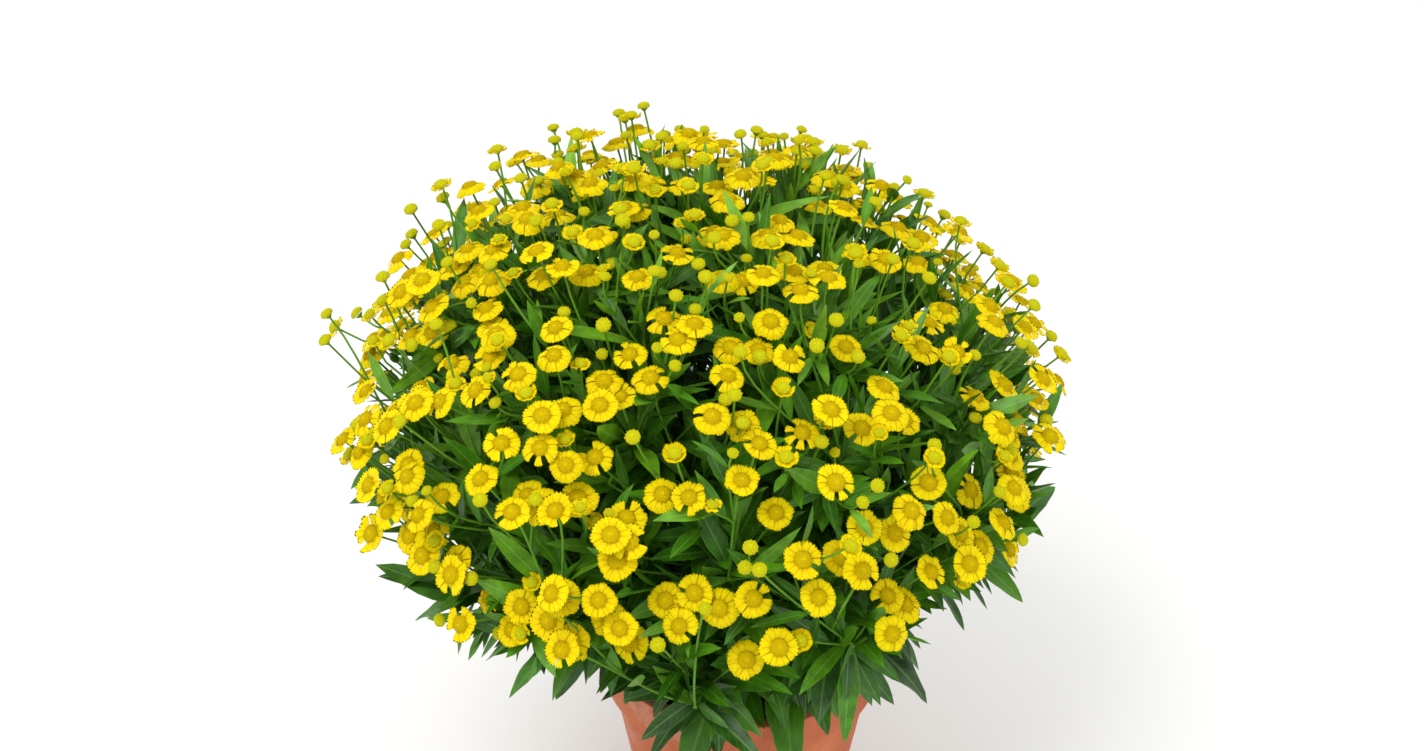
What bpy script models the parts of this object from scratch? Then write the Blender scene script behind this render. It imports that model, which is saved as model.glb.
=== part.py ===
"""A potted sneezeweed: a clump of leafy stems under a mound of yellow blooms, in a plain terracotta pot.

Metres, +Z up. The origin is the middle of the pot's foot, which stands on z = 0.
"""
import math

import bmesh
import bpy
import numpy as np
from mathutils import Vector
from mathutils.bvhtree import BVHTree
from mathutils.geometry import intersect_ray_tri

# Pot and soil, metres
POT_HEIGHT = 0.220
POT_RIM_RADIUS = 0.120
POT_FOOT_RADIUS = 0.080
POT_WALL = 0.009
POT_BAND_HEIGHT = 0.038
POT_BAND_STEP = 0.005
POT_FLOOR = 0.012
POT_SIDES = 20
DRAIN_COUNT = 3
DRAIN_RADIUS = 0.006
DRAIN_OFFSET = 0.042
SOIL_BELOW_RIM = 0.018
CLEARANCE = 0.0003
POT_GUARD = 0.0015

# The mound: a ball stretched along the three axes, leaning as it rises and as it runs back
MOUND_MIDDLE = np.array([-0.027, 0.0, 0.445])
MOUND_RADII = np.array([0.288, 0.280, 0.222])
LEAN_UP = 0.19
LEAN_BACK = -0.08

# Stems: each leaves the soil upright and bends out to a share of the way to the mound's skin
SEED = 7
STEM_COUNT = 28
STEM_LOWEST = math.radians(120)
STEM_REACH = 0.80
STEM_UPRIGHT = 0.50
STEM_OUTWARD = 0.10
STEM_STEPS = 25
STEM_RADIUS_FOOT = 0.0031
STEM_RADIUS_TOP = 0.0024
CROWN_RADIUS = 0.062
STEM_IN_SOIL = 0.030
STEM_COLLAR = 0.002
JOINT_SHARES = (0.20, 0.35, 0.50, 0.66, 0.82, 0.97)
JOINT_HEIGHT = 0.007

# Heads: open blooms and young ones
HEAD_SITES = 512
HEADS_LOWEST = math.radians(101)
HEADS_CROWDING = 1.12
HEAD_STRAY = 0.06
HEAD_TRIES = 6
BUNCH_COUNT = 105
BUNCH_PULL = 0.32
YOUNG_SHARE = 0.27
SIZE_SPREAD = 0.07
BLOOM_RADIUS = 0.0150
BLOOM_RAYS = 5
RAY_NOTCH = 0.70
RAY_DROOP = 0.08
DISC_RISE = 0.0038
BLOOM_DEPTH = 0.0028
BLOOM_DEPTHS = (0.0, 0.14)
YOUNG_RADIUS = 0.0052
YOUNG_BELLY = 0.35
YOUNG_RISE = 1.2
YOUNG_DEPTHS = (-0.07, 0.04)
YOUNG_TUCKED_BELOW = 0.4
YOUNG_TUCK = 0.13

# Stalks: each leaves its stem towards its head, which looks up, out of the mound and along its stalk
STALK_RADIUS = 0.0013
SHORTEST_STALK = 0.025
STALK_DROP = 3.2
STALK_STRAIGHTEST = 0.4
FACE_UP = 0.85
FACE_ALONG_STALK = 0.45
FACE_SPREAD = 0.16
PLACE_LOOKS = 0.25
PLACE_CHOICES = 4
PLACE_STRICTNESS = 6
SPIN_SPREAD = 0.25

# Leaves: the low ones are larger and hang out all round, the others rise towards the mound's skin
LOW_LEAVES = {"most": 4, "highest": 0.36, "length": 0.110, "tilt": (-0.25, 0.2), "droop": (0.6, 1.6),
              "outward": (1.0, 1.0, 0.0), "push": 1.0}
HIGH_LEAVES = {"most": 4, "highest": 1.0, "length": 0.080, "tilt": (0.2, 0.7), "droop": (0.25, 0.7),
               "outward": (1.0, 1.0, 1.0), "push": 0.6}
LEAF_TRIES = 12
LENGTH_SPREAD = (0.75, 1.15)
LEAF_SLENDERNESS = 0.2875
WIDTH_SPREAD = (0.85, 1.15)
LEAF_THICKNESS = 0.0013
LEAF_ROWS = ((1, 1.0), (2, 0.72))
LEAF_TROUGH = 0.12
LEAF_STRAY = 0.25
BLADE_OUTWARD = 0.3
BLADE_STRAY = 0.2
LOWEST_LEAF = 0.15

# Finishes, as slot numbers on each leafy stem
FOLIAGE, RAYS, YOUNG = 0, 1, 2

GOLDEN_TURN = math.pi * (3 - math.sqrt(5))
UP = np.array([0.0, 0.0, 1.0])
EAST = np.array([1.0, 0.0, 0.0])
ASKEW = np.array([0.1, 0.2, 1.0])


def unit(vector):
    """The vector at length one."""
    return vector / np.linalg.norm(vector)


def sunflower_directions(count, lowest, crowding=1.0):
    """Directions from straight up down to an angle, on a sunflower's spiral, even or crowded at its top."""
    index = np.arange(count) + 0.5
    height = 1 - (index / count) ** crowding * (1 - math.cos(lowest))
    across = np.sqrt(1 - height ** 2)
    turn = index * GOLDEN_TURN
    return np.stack([across * np.cos(turn), across * np.sin(turn), height], axis=1)


def mound_point(direction, share=1.0):
    """The point of the mound's skin in a direction from its middle, or part of the way there."""
    offset = direction * MOUND_RADII * share
    offset[0] -= LEAN_UP * offset[2] + LEAN_BACK * offset[1]
    return MOUND_MIDDLE + offset


def curve(start, bend, end, steps):
    """Points of the parabola that leaves start towards bend and comes into end from it."""
    t = np.linspace(0, 1, steps)[:, None]
    return (1 - t) ** 2 * start + 2 * t * (1 - t) * bend + t ** 2 * end


def along(path, share):
    """The point at a share of a path's length, and the path's direction there."""
    pieces = np.diff(path, axis=0)
    lengths = np.linalg.norm(pieces, axis=1)
    ends = np.cumsum(lengths)
    goal = share * ends[-1]
    piece = int(np.searchsorted(ends, goal))
    piece = min(piece, len(pieces) - 1)
    rest = goal - (ends[piece] - lengths[piece])
    direction = pieces[piece] / lengths[piece]
    return path[piece] + direction * rest, direction


def plan_stems():
    """Each stem's rings of three points, from its hole in the soil to its end, and its places for shoots.

    A stem has short joints with long plain lengths between them. Each of a joint's three sides is split
    into two triangles, and a shoot, a stalk or a leaf, may grow from each.
    """
    soil_top = POT_HEIGHT - SOIL_BELOW_RIM
    stems = []
    for index, direction in enumerate(sunflower_directions(STEM_COUNT, STEM_LOWEST)):
        out = CROWN_RADIUS * math.sqrt((index + 0.5) / STEM_COUNT)
        turn = math.atan2(direction[1], direction[0])
        base = np.array([out * math.cos(turn), out * math.sin(turn), soil_top])
        skin = mound_point(direction)
        hub = base + (skin - base) * STEM_REACH
        bend = base + np.linalg.norm(hub - base) * (STEM_UPRIGHT * UP + STEM_OUTWARD * unit(hub - base))
        path = curve(base, bend, hub, STEM_STEPS)
        length = np.linalg.norm(np.diff(path, axis=0), axis=1).sum()
        half = JOINT_HEIGHT / 2 / length
        across = unit(np.cross(hub - base, UP))
        rings = [
            ring(base - UP * STEM_IN_SOIL, UP, across, STEM_RADIUS_FOOT, 3),
            ring(base + UP * STEM_COLLAR, UP, across, STEM_RADIUS_FOOT, 3),
        ]
        for share in [share + step for share in JOINT_SHARES for step in (-half, half)]:
            middle, way = along(path, min(share, 1.0))
            radius = STEM_RADIUS_FOOT + (STEM_RADIUS_TOP - STEM_RADIUS_FOOT) * share
            rings.append(ring(middle, way, across, radius, 3))
        corners = []
        for level in range(2, len(rings) - 1, 2):
            for side in range(3):
                a, b = 3 * level + side, 3 * level + (side + 1) % 3
                corners += [(a, b, b + 3), (a, b + 3, a + 3)]
        points = np.vstack(rings)
        first, second, third = (points[[corner[k] for corner in corners]] for k in range(3))
        normals = np.cross(second - first, third - first)
        stems.append({
            "points": points, "skin": skin, "shoots": [],
            "corners": corners, "free": np.ones(len(corners), bool),
            "places": (first + second + third) / 3,
            "normals": normals / np.linalg.norm(normals, axis=1)[:, None],
            "shares": np.repeat(JOINT_SHARES, 6),
        })
    return stems


def leaf_rows(leaf):
    """The rib's points and the blade's sideways and upward directions at each, from base to tip."""
    rib = curve(leaf["root"], leaf["bend"], leaf["tip"], 4)
    way = np.gradient(rib, axis=0)
    way /= np.linalg.norm(way, axis=1)[:, None]
    side = unit(np.cross(leaf["tip"] - leaf["root"], leaf["lift"]))
    face = np.cross(side, way)
    return rib, side, face


def ring(middle, axis, across, radius, count, spin=0.0):
    """Points round an axis, counter-clockwise seen from where it points."""
    side = unit(across - (across @ axis) * axis)
    other = np.cross(axis, side)
    turn = spin + np.arange(count) * 2 * math.pi / count
    return middle + np.cos(turn)[:, None] * side * radius + np.sin(turn)[:, None] * other * radius


def matching_ring(middle, axis, corners, radius):
    """A ring turned round its axis so that its points lie nearest to the corners it is joined to."""
    side = unit(np.cross(axis, ASKEW))
    offsets = corners - corners.mean(axis=0)
    steps = np.arange(len(corners)) * 2 * math.pi / len(corners)
    turned = (offsets @ side + 1j * (offsets @ np.cross(axis, side))) * np.exp(-1j * steps)
    return ring(middle, axis, side, radius, len(corners), np.angle(turned.sum()))


def bridge(lower, upper):
    """Triangles between two rings of vertex numbers, which may differ in count."""
    m, n = len(lower), len(upper)
    if n == 1:
        return [(lower[k], lower[(k + 1) % m], upper[0]) for k in range(m)]
    faces = []
    if m == n and m % 2 == 0:
        for k in range(m):
            a, b, c, d = lower[k], lower[(k + 1) % m], upper[k], upper[(k + 1) % m]
            faces += [(a, b, d), (a, d, c)] if k % 2 == 0 else [(a, b, c), (b, d, c)]
        return faces
    i = j = 0
    while i < m or j < n:
        if j >= n or (i < m and (i + 0.5) / m <= (j + 0.5) / n):
            faces.append((lower[i % m], lower[(i + 1) % m], upper[j % n]))
            i += 1
        else:
            faces.append((lower[i % m], upper[(j + 1) % n], upper[j % n]))
            j += 1
    return faces


class Skin:
    """One closed solid's points and triangles. New rings are grown on from a ring that is there."""

    def __init__(self, points):
        self.points = [tuple(point) for point in points]
        self.faces = []
        self.finishes = []

    def grow(self, base, rings, finish):
        """Carry the skin from a ring of vertex numbers through new rings, and return the last one's."""
        for points in rings:
            points = np.atleast_2d(points)
            numbers = list(range(len(self.points), len(self.points) + len(points)))
            self.points += [tuple(point) for point in points]
            turns = [0] if len(points) == len(base) else range(len(points))
            bridges = [bridge(base, numbers[turn:] + numbers[:turn]) for turn in turns]
            self.cover(min(bridges, key=self.length), finish)
            base = numbers
        return base

    def length(self, faces):
        """The total length of the triangles' sides, least where a bridge isn't twisted."""
        return sum(math.dist(self.points[a], self.points[b]) + math.dist(self.points[b], self.points[c])
                   for a, b, c in faces)

    def cover(self, faces, finish):
        """Add triangles of one finish."""
        self.faces += faces
        self.finishes += [finish] * len(faces)

    def object(self, name):
        """The skin as a Blender object."""
        mesh = bpy.data.meshes.new(name)
        mesh.from_pydata(self.points, [], self.faces)
        mesh.polygons.foreach_set("material_index", self.finishes)
        return bpy.data.objects.new(name, mesh)


def grow_head(skin, shoot):
    """A stalk from its place on the stem, with an open bloom or a young head at its end."""
    facing, middle = shoot["facing"], shoot["middle"]
    corners = np.array([skin.points[number] for number in shoot["corners"]])
    under = middle - facing * BLOOM_DEPTH * shoot["size"]
    neck = matching_ring(under, unit(facing + shoot["way"]), corners, STALK_RADIUS)
    base = skin.grow(shoot["corners"], [neck], FOLIAGE)
    if shoot["young"]:
        radius = YOUNG_RADIUS * shoot["size"]
        waist = middle + facing * radius * YOUNG_BELLY
        belly = ring(waist, facing, neck[0] - under, radius, 4, shoot["spin"])
        skin.grow(base, [belly, middle + facing * radius * YOUNG_RISE], YOUNG)
        return
    radius = BLOOM_RADIUS * shoot["size"]
    rim = ring(middle, facing, neck[0] - under, radius, BLOOM_RAYS * 2, shoot["spin"])
    rim[1::2] = middle + (rim[1::2] - middle) * RAY_NOTCH
    rim[0::2] -= facing * radius * RAY_DROOP
    skin.grow(base, [rim, middle + facing * DISC_RISE], RAYS)


def grow_leaf(skin, leaf):
    """A pointed blade from its place on the stem, thickest at its rib, arched from root to tip."""
    rib, side, face = leaf_rows(leaf)
    rings = []
    for row, share in LEAF_ROWS:
        edge = side * leaf["width"] / 2 * share
        lift = face[row] * leaf["width"] * LEAF_TROUGH * share
        thick = face[row] * LEAF_THICKNESS / 2
        rings.append(rib[row] + np.array([lift + edge, -thick, lift - edge, thick]))
    skin.grow(leaf["corners"], rings + [rib[3]], FOLIAGE)


def grow_shoot(skin, shoot):
    """A leaf, or a stalk with its head."""
    grow = grow_head if shoot["kind"] == "head" else grow_leaf
    grow(skin, shoot)


def stem_walls(stem, taken):
    """The triangles of a bare stem, without those that shoots grow from."""
    last = len(stem["points"]) - 3
    faces = [(0, 2, 1), (last, last + 1, last + 2)]
    for level in range(0, last, 3):
        for side in range(3):
            a, b = level + side, level + (side + 1) % 3
            faces += [face for face in ((a, b, b + 3), (a, b + 3, a + 3)) if face not in taken]
    return faces


def pierces(start, end, triangle):
    """True where the straight line between two points goes through a triangle."""
    way = end - start
    hit = intersect_ray_tri(*triangle, way, start, True)
    return hit is not None and 0 < (hit - start).dot(way) < way.dot(way)


def cross(first, second, shared):
    """True where two solids' walls cross, other than at the stem's points that they share."""
    for a, b in first["tree"].overlap(second["tree"]):
        one, other = first["faces"][a], second["faces"][b]
        common = [number for number in one if number in other and number < shared]
        if not common:
            return True
        if len(common) == 1:
            near = [first["points"][number] for number in one]
            far = [second["points"][number] for number in other]
            ends = [first["points"][number] for number in one if number != common[0]]
            far_ends = [second["points"][number] for number in other if number != common[0]]
            if pierces(*ends, far) or pierces(*far_ends, near):
                return True
    return False


def walls(points, faces):
    """A set of triangles, made ready to be tested against others."""
    points = [Vector(point) for point in points]
    used = np.array([points[number] for face in faces for number in face])
    middle = used.mean(axis=0)
    return {"points": points, "faces": faces, "tree": BVHTree.FromPolygons(points, faces),
            "middle": middle, "reach": np.linalg.norm(used - middle, axis=1).max()}


class Garden:
    """What is already placed, so that each new shoot can be kept clear of it."""

    def __init__(self, most=2000):
        self.walls = []
        self.middles = np.zeros((most, 3))
        self.reaches = np.zeros(most)

    def add(self, new, stem):
        """Take in a set of walls that belongs to a stem."""
        self.middles[len(self.walls)] = new["middle"]
        self.reaches[len(self.walls)] = new["reach"]
        self.walls.append((stem, new))

    def clear(self, new, stem, shared):
        """True where a new shoot on a stem crosses nothing."""
        count = len(self.walls)
        away = np.linalg.norm(self.middles[:count] - new["middle"], axis=1)
        for number in np.nonzero(away < self.reaches[:count] + new["reach"])[0]:
            owner, wall = self.walls[number]
            if cross(new, wall, shared if owner == stem else 0):
                return False
        return not cross(new, new, len(new["points"]))

    def take(self, stem, index, place, shoot):
        """Place a shoot on a stem if it is clear there, and say whether it was."""
        skin = Skin(stem["points"])
        grow_shoot(skin, shoot)
        new = walls(skin.points, skin.faces)
        if not self.clear(new, index, len(stem["points"])):
            return False
        self.add(new, index)
        stem["free"][place] = False
        stem["shoots"].append(shoot)
        return True


def pot_guard():
    """Walls a little way off the pot and its soil, which nothing may cross."""
    outer, inner = POT_RIM_RADIUS + POT_GUARD, inner_radius(POT_HEIGHT) - POT_GUARD
    top, soil = POT_HEIGHT + POT_GUARD, POT_HEIGHT - SOIL_BELOW_RIM + POT_GUARD
    rings = [ring(UP * height, UP, EAST, radius, POT_SIDES)
             for radius, height in ((outer, 0), (outer, top), (inner, top), (inner, soil), (POT_GUARD, soil))]
    skin = Skin(rings[0])
    skin.grow(list(range(POT_SIDES)), rings[1:], FOLIAGE)
    return walls(skin.points, skin.faces)


def free_places(stem, goal, wanted_share):
    """The stem's free places that look towards a point, the likeliest first."""
    way = goal - stem["places"]
    looks = (way * stem["normals"]).sum(axis=1) / np.linalg.norm(way, axis=1)
    cost = np.abs(stem["shares"] - wanted_share) * PLACE_STRICTNESS - looks
    cost[~stem["free"] | (looks < PLACE_LOOKS)] = np.inf
    best = np.argsort(cost, kind="stable")[:PLACE_CHOICES]
    return [number for number in best if np.isfinite(cost[number])]


def plan_heads(stems, garden, draw):
    """Place the heads on the mound's skin, each on a stalk from a near stem, clear of the rest."""
    skins = np.array([stem["skin"] for stem in stems])
    bunches = sunflower_directions(BUNCH_COUNT, HEADS_LOWEST, HEADS_CROWDING)
    for direction in sunflower_directions(HEAD_SITES, HEADS_LOWEST, HEADS_CROWDING):
        bunch = bunches[(bunches @ direction).argmax()]
        direction = unit(direction + BUNCH_PULL * (bunch - direction))
        young = draw.random() < YOUNG_SHARE
        size = draw.uniform(1 - SIZE_SPREAD, 1 + SIZE_SPREAD)
        for attempt in range(HEAD_TRIES):
            aim = unit(direction + draw.normal(0, HEAD_STRAY, 3))
            inward = draw.uniform(*(YOUNG_DEPTHS if young else BLOOM_DEPTHS))
            inward += young * YOUNG_TUCK * max(0.0, YOUNG_TUCKED_BELOW - aim[2])
            middle = mound_point(aim, 1 - inward)
            outward = aim / MOUND_RADII * MOUND_RADII.mean()
            looks = unit(outward + FACE_UP * UP + draw.normal(0, FACE_SPREAD, 3))
            spin = draw.uniform(-SPIN_SPREAD, SPIN_SPREAD)
            apart = np.linalg.norm(skins - middle, axis=1)
            tries = [(index, place) for index in np.argsort(apart)[:2]
                     for place in free_places(stems[index], middle, 1.0 - STALK_DROP * apart[index])]
            heads = [place_head(stems[index], place, young, middle, looks, size, spin)
                     for index, place in tries]
            if any(head and garden.take(stems[index], index, place, head)
                   for (index, place), head in zip(tries, heads)):
                break


def place_head(stem, place, young, middle, looks, size, spin):
    """A head on a stalk from a place on a stem, or nothing where the stalk would be short or bent back."""
    root = stem["places"][place]
    facing = unit(looks + FACE_ALONG_STALK * unit(middle - root))
    under = middle - facing * BLOOM_DEPTH * size
    way = unit(under - root)
    if np.linalg.norm(under - root) < SHORTEST_STALK or way @ facing < STALK_STRAIGHTEST:
        return None
    return {"kind": "head", "young": young, "middle": middle, "facing": facing, "size": size,
            "spin": spin, "way": way, "corners": stem["corners"][place]}


def plan_leaves(stems, garden, draw, habit):
    """Place leaves of one habit on each stem, where they are clear of the rest."""
    for index, stem in enumerate(stems):
        outward = unit((stem["skin"] - MOUND_MIDDLE) * habit["outward"])
        count = 0
        for attempt in range(LEAF_TRIES * habit["most"]):
            free = np.nonzero(stem["free"] & (stem["shares"] <= habit["highest"]))[0]
            if count == habit["most"] or len(free) == 0:
                break
            place = free[draw.integers(len(free))]
            root, normal = stem["places"][place], stem["normals"][place]
            stray = draw.normal(0, LEAF_STRAY, 3)
            way = unit(normal + draw.uniform(*habit["tilt"]) * UP + habit["push"] * outward + stray)
            length = habit["length"] * draw.uniform(*LENGTH_SPREAD)
            bend = root + way * length / 2
            tip = bend + unit(way - draw.uniform(*habit["droop"]) * UP) * length / 2
            lift = unit(UP + BLADE_OUTWARD * outward + draw.normal(0, BLADE_STRAY, 3))
            leaf = {
                "kind": "leaf", "corners": stem["corners"][place],
                "root": root, "bend": bend, "tip": tip, "lift": lift,
                "width": LEAF_SLENDERNESS * length * draw.uniform(*WIDTH_SPREAD),
            }
            if way @ normal > STALK_STRAIGHTEST and tip[2] > LOWEST_LEAF:
                count += garden.take(stem, index, place, leaf)


def plan_plant():
    """The whole plant's layout: the same each time, because the draws are seeded."""
    draw = np.random.default_rng(SEED)
    garden = Garden()
    garden.add(pot_guard(), -1)
    stems = plan_stems()
    for index, stem in enumerate(stems):
        garden.add(walls(stem["points"], stem_walls(stem, ())), index)
    plan_leaves(stems, garden, draw, LOW_LEAVES)
    plan_heads(stems, garden, draw)
    plan_leaves(stems, garden, draw, HIGH_LEAVES)
    return stems


def leafy_stem(name, stem):
    """A stem with its leaves, stalks, blooms and young heads, as one closed solid."""
    skin = Skin(stem["points"])
    skin.cover(stem_walls(stem, {shoot["corners"] for shoot in stem["shoots"]}), FOLIAGE)
    for shoot in stem["shoots"]:
        grow_shoot(skin, shoot)
    return skin.object(name)


def material(name, colour, roughness):
    """A matte finish of one colour, given as red, green and blue from 0 to 1."""
    finish = bpy.data.materials.new(name)
    finish.use_nodes = True
    shader = finish.node_tree.nodes["Principled BSDF"]
    shader.inputs["Base Color"].default_value = (*colour, 1)
    shader.inputs["Roughness"].default_value = roughness
    shader.inputs["Metallic"].default_value = 0.0
    finish.diffuse_color = (*colour, 1)
    return finish


def turned(name, profile, collection):
    """A turned solid. Its profile starts and ends on the axis, with its outside run downwards."""
    mesh = bpy.data.meshes.new(name)
    points = [(radius, 0, height) for radius, height in profile]
    mesh.from_pydata(points, [(k, k + 1) for k in range(len(points) - 1)], [])
    solid = bpy.data.objects.new(name, mesh)
    screw = solid.modifiers.new("Turn", "SCREW")
    screw.axis = "Z"
    screw.steps = screw.render_steps = POT_SIDES
    screw.use_merge_vertices = True
    screw.merge_threshold = 0.00001
    collection.objects.link(solid)
    return solid


def cut(solid, cutter, cutters):
    """Take the cutter's shape out of the solid."""
    cutter.hide_render = True
    cutter.display_type = "WIRE"
    cutters.objects.link(cutter)
    take_away = solid.modifiers.new("Cut " + cutter.name, "BOOLEAN")
    take_away.operation = "DIFFERENCE"
    take_away.object = cutter


def rod(name, middle, low, high, radius, sides):
    """An upright rod between two heights."""
    mesh = bpy.data.meshes.new(name)
    work = bmesh.new()
    depth = high - low
    bmesh.ops.create_cone(work, cap_ends=True, segments=sides, radius1=radius, radius2=radius, depth=depth)
    bmesh.ops.translate(work, verts=work.verts, vec=(*middle, (low + high) / 2))
    work.to_mesh(mesh)
    work.free()
    return bpy.data.objects.new(name, mesh)


def inner_radius(height):
    """The radius of the pot's inside at a height."""
    share = (height - POT_FLOOR) / (POT_HEIGHT - POT_FLOOR)
    foot = POT_FOOT_RADIUS - POT_WALL
    return foot + (POT_RIM_RADIUS - POT_BAND_STEP / 2 - POT_WALL - foot) * share


def build_pot(collection, cutters):
    """A plain terracotta pot: a tapered wall, a band round the rim and drain holes in the floor."""
    below_band = POT_HEIGHT - POT_BAND_HEIGHT
    pot = turned("pot", [
        (0, POT_FLOOR), (inner_radius(POT_FLOOR), POT_FLOOR), (inner_radius(POT_HEIGHT), POT_HEIGHT),
        (POT_RIM_RADIUS, POT_HEIGHT), (POT_RIM_RADIUS - POT_BAND_STEP / 2, below_band),
        (POT_RIM_RADIUS - POT_BAND_STEP * 1.8, below_band), (POT_FOOT_RADIUS, 0), (0, 0),
    ], collection)
    for number in range(DRAIN_COUNT):
        turn = 2 * math.pi * (number + 0.5) / DRAIN_COUNT
        middle = (DRAIN_OFFSET * math.cos(turn), DRAIN_OFFSET * math.sin(turn))
        cut(pot, rod(f"drain_{number}", middle, -POT_FLOOR, 2 * POT_FLOOR, DRAIN_RADIUS, 8), cutters)
    pot.data.materials.append(material("terracotta", (0.55, 0.24, 0.13), 0.85))


def build_soil(collection, cutters, stems):
    """Potting soil that fills the pot to just below its rim, with a hole for each stem's foot."""
    bottom, top = POT_FLOOR + CLEARANCE, POT_HEIGHT - SOIL_BELOW_RIM
    soil = turned("soil", [
        (0, top), (inner_radius(top) - 2 * CLEARANCE, top), (inner_radius(bottom) - 2 * CLEARANCE, bottom),
        (0, bottom),
    ], collection)
    holes = Skin([])
    for stem in stems:
        foot = stem["points"][:3]
        middle = foot.mean(axis=0)
        wide = middle + (foot - middle) * (1 + 2 * CLEARANCE / STEM_RADIUS_FOOT)
        low, high = wide - UP * CLEARANCE, wide + UP * (STEM_IN_SOIL + 2 * STEM_COLLAR)
        start = len(holes.points)
        holes.points += [tuple(point) for point in low]
        end = holes.grow([start, start + 1, start + 2], [high], 0)
        holes.cover([(start, start + 2, start + 1), tuple(end)], 0)
    cut(soil, holes.object("stem_holes"), cutters)
    soil.data.materials.append(material("potting_soil", (0.05, 0.03, 0.02), 0.95))


def build_stems(collection, stems):
    """One object for each leafy stem, with its leaves, stalks, blooms and young heads."""
    finishes = [
        material("stem_and_leaf", (0.08, 0.20, 0.03), 0.6),
        material("ray_yellow", (0.85, 0.68, 0.02), 0.6),
        material("young_head_green", (0.45, 0.45, 0.05), 0.7),
    ]
    for index, stem in enumerate(stems):
        plant = leafy_stem(f"leafy_stem_{index + 1:02d}", stem)
        for finish in finishes:
            plant.data.materials.append(finish)
        collection.objects.link(plant)


def main():
    """Clear the scene and build the pot, the soil and the leafy stems."""
    for thing in list(bpy.data.objects):
        bpy.data.objects.remove(thing)
    collection = bpy.data.collections.new("potted_sneezeweed")
    cutters = bpy.data.collections.new("cutters")
    bpy.context.scene.collection.children.link(collection)
    bpy.context.scene.collection.children.link(cutters)
    stems = plan_plant()
    build_pot(collection, cutters)
    build_soil(collection, cutters, stems)
    build_stems(collection, stems)


main()
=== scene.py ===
# %% [markdown]
# This lesson dresses a potted sneezeweed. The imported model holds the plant's layout: twenty-eight leafy
# stems, their leaves, stalks, blooms and young heads as coarse solids, with the soil and the pot. The
# layout could be drawn a second time here, but then the two would drift apart. So it is read back from
# the solids, and each coarse form is exchanged for a finer one in the same place. Sizes are in metres.

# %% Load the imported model
import math

import bmesh
import bpy
import numpy as np
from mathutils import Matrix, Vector


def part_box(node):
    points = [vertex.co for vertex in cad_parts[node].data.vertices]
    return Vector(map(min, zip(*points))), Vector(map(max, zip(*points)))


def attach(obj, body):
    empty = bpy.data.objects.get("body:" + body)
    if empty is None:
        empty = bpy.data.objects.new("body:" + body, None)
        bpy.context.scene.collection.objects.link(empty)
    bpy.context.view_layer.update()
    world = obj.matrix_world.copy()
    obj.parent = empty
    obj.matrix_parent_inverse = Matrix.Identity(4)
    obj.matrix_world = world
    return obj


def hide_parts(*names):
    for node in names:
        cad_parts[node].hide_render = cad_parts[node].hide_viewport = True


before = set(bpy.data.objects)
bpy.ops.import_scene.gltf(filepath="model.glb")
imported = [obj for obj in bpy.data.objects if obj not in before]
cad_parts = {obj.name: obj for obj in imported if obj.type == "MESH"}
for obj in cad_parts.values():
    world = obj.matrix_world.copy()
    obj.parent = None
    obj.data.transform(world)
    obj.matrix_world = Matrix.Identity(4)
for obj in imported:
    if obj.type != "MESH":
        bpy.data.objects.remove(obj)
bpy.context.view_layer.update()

stem_nodes = sorted(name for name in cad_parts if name.startswith("leafy_stem_"))
print("leafy stems:", len(stem_nodes))

# %% [markdown]
# Most of a plant is thin solids that are carried along a path: a stalk is round, and a leaf or a petal
# is flat. A few helpers work on whole arrays of directions at once, so that thousands of petals take
# no more code than one.

# %% Vectors
UP = np.array([0.0, 0.0, 1.0])
ASKEW = np.array([0.31, 0.17, 0.93])  # a direction that no stem, stalk or petal follows
FULL_TURN = 2 * math.pi
GOLDEN_TURN = math.pi * (3 - math.sqrt(5))
print("golden turn", round(math.degrees(GOLDEN_TURN), 1), "degrees")


def unit(vectors):
    """The vectors at length one."""
    return vectors / np.linalg.norm(vectors, axis=-1, keepdims=True)


def dot(first, second):
    """The dot products, kept as a last axis of one."""
    return (first * second).sum(axis=-1, keepdims=True)


def square_to(vectors, ways):
    """What is left of the vectors once their share along the ways is taken off, at length one."""
    return unit(vectors - dot(vectors, ways) * ways)


def square_pair(ways):
    """Two directions that are square to the ways and to each other."""
    side = unit(np.cross(ways, ASKEW))
    return side, np.cross(ways, side)


def even_turns(count):
    """The angles that cut a full turn into equal steps."""
    return np.arange(count) * FULL_TURN / count


def turned(side, other, turn):
    """Directions turned from side towards other: the cosine of one with the sine of the other."""
    return np.cos(turn)[..., None] * side + np.sin(turn)[..., None] * other


# %% [markdown]
# A path is a row of points. Blender has Bezier curves for paths, but two formulas do here: a cubic for
# stalks, which have to leave and arrive in given directions, and a parabola for leaves, which only bend
# over.

# %% Paths


def cubic(start, end, leave, arrive, t):
    """Points of cubics from start to end, which leave and arrive with the slopes given."""
    return ((2 * t ** 3 - 3 * t ** 2 + 1) * start + (t ** 3 - 2 * t ** 2 + t) * leave
            + (3 * t ** 2 - 2 * t ** 3) * end + (t ** 3 - t ** 2) * arrive)


def parabola(start, bend, end, rows):
    """Paths that leave start towards bend and come into end from it, as (path, row, xyz)."""
    t = np.linspace(0, 1, rows)[None, :, None]
    return (1 - t) ** 2 * start[:, None] + 2 * t * (1 - t) * bend[:, None] + t ** 2 * end[:, None]


def slopes(paths):
    """The direction of each path at each row."""
    return unit(np.gradient(paths, axis=1))


def read_out(paths, shares):
    """Each path's point at a share of its rows, and its direction there."""
    place = shares * (paths.shape[1] - 1)
    row = np.minimum(place.astype(int), paths.shape[1] - 2)
    rest = (place - row)[:, None]
    each = np.arange(len(paths))
    step = paths[each, row + 1] - paths[each, row]
    return paths[each, row] + step * rest, unit(step)


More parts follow.
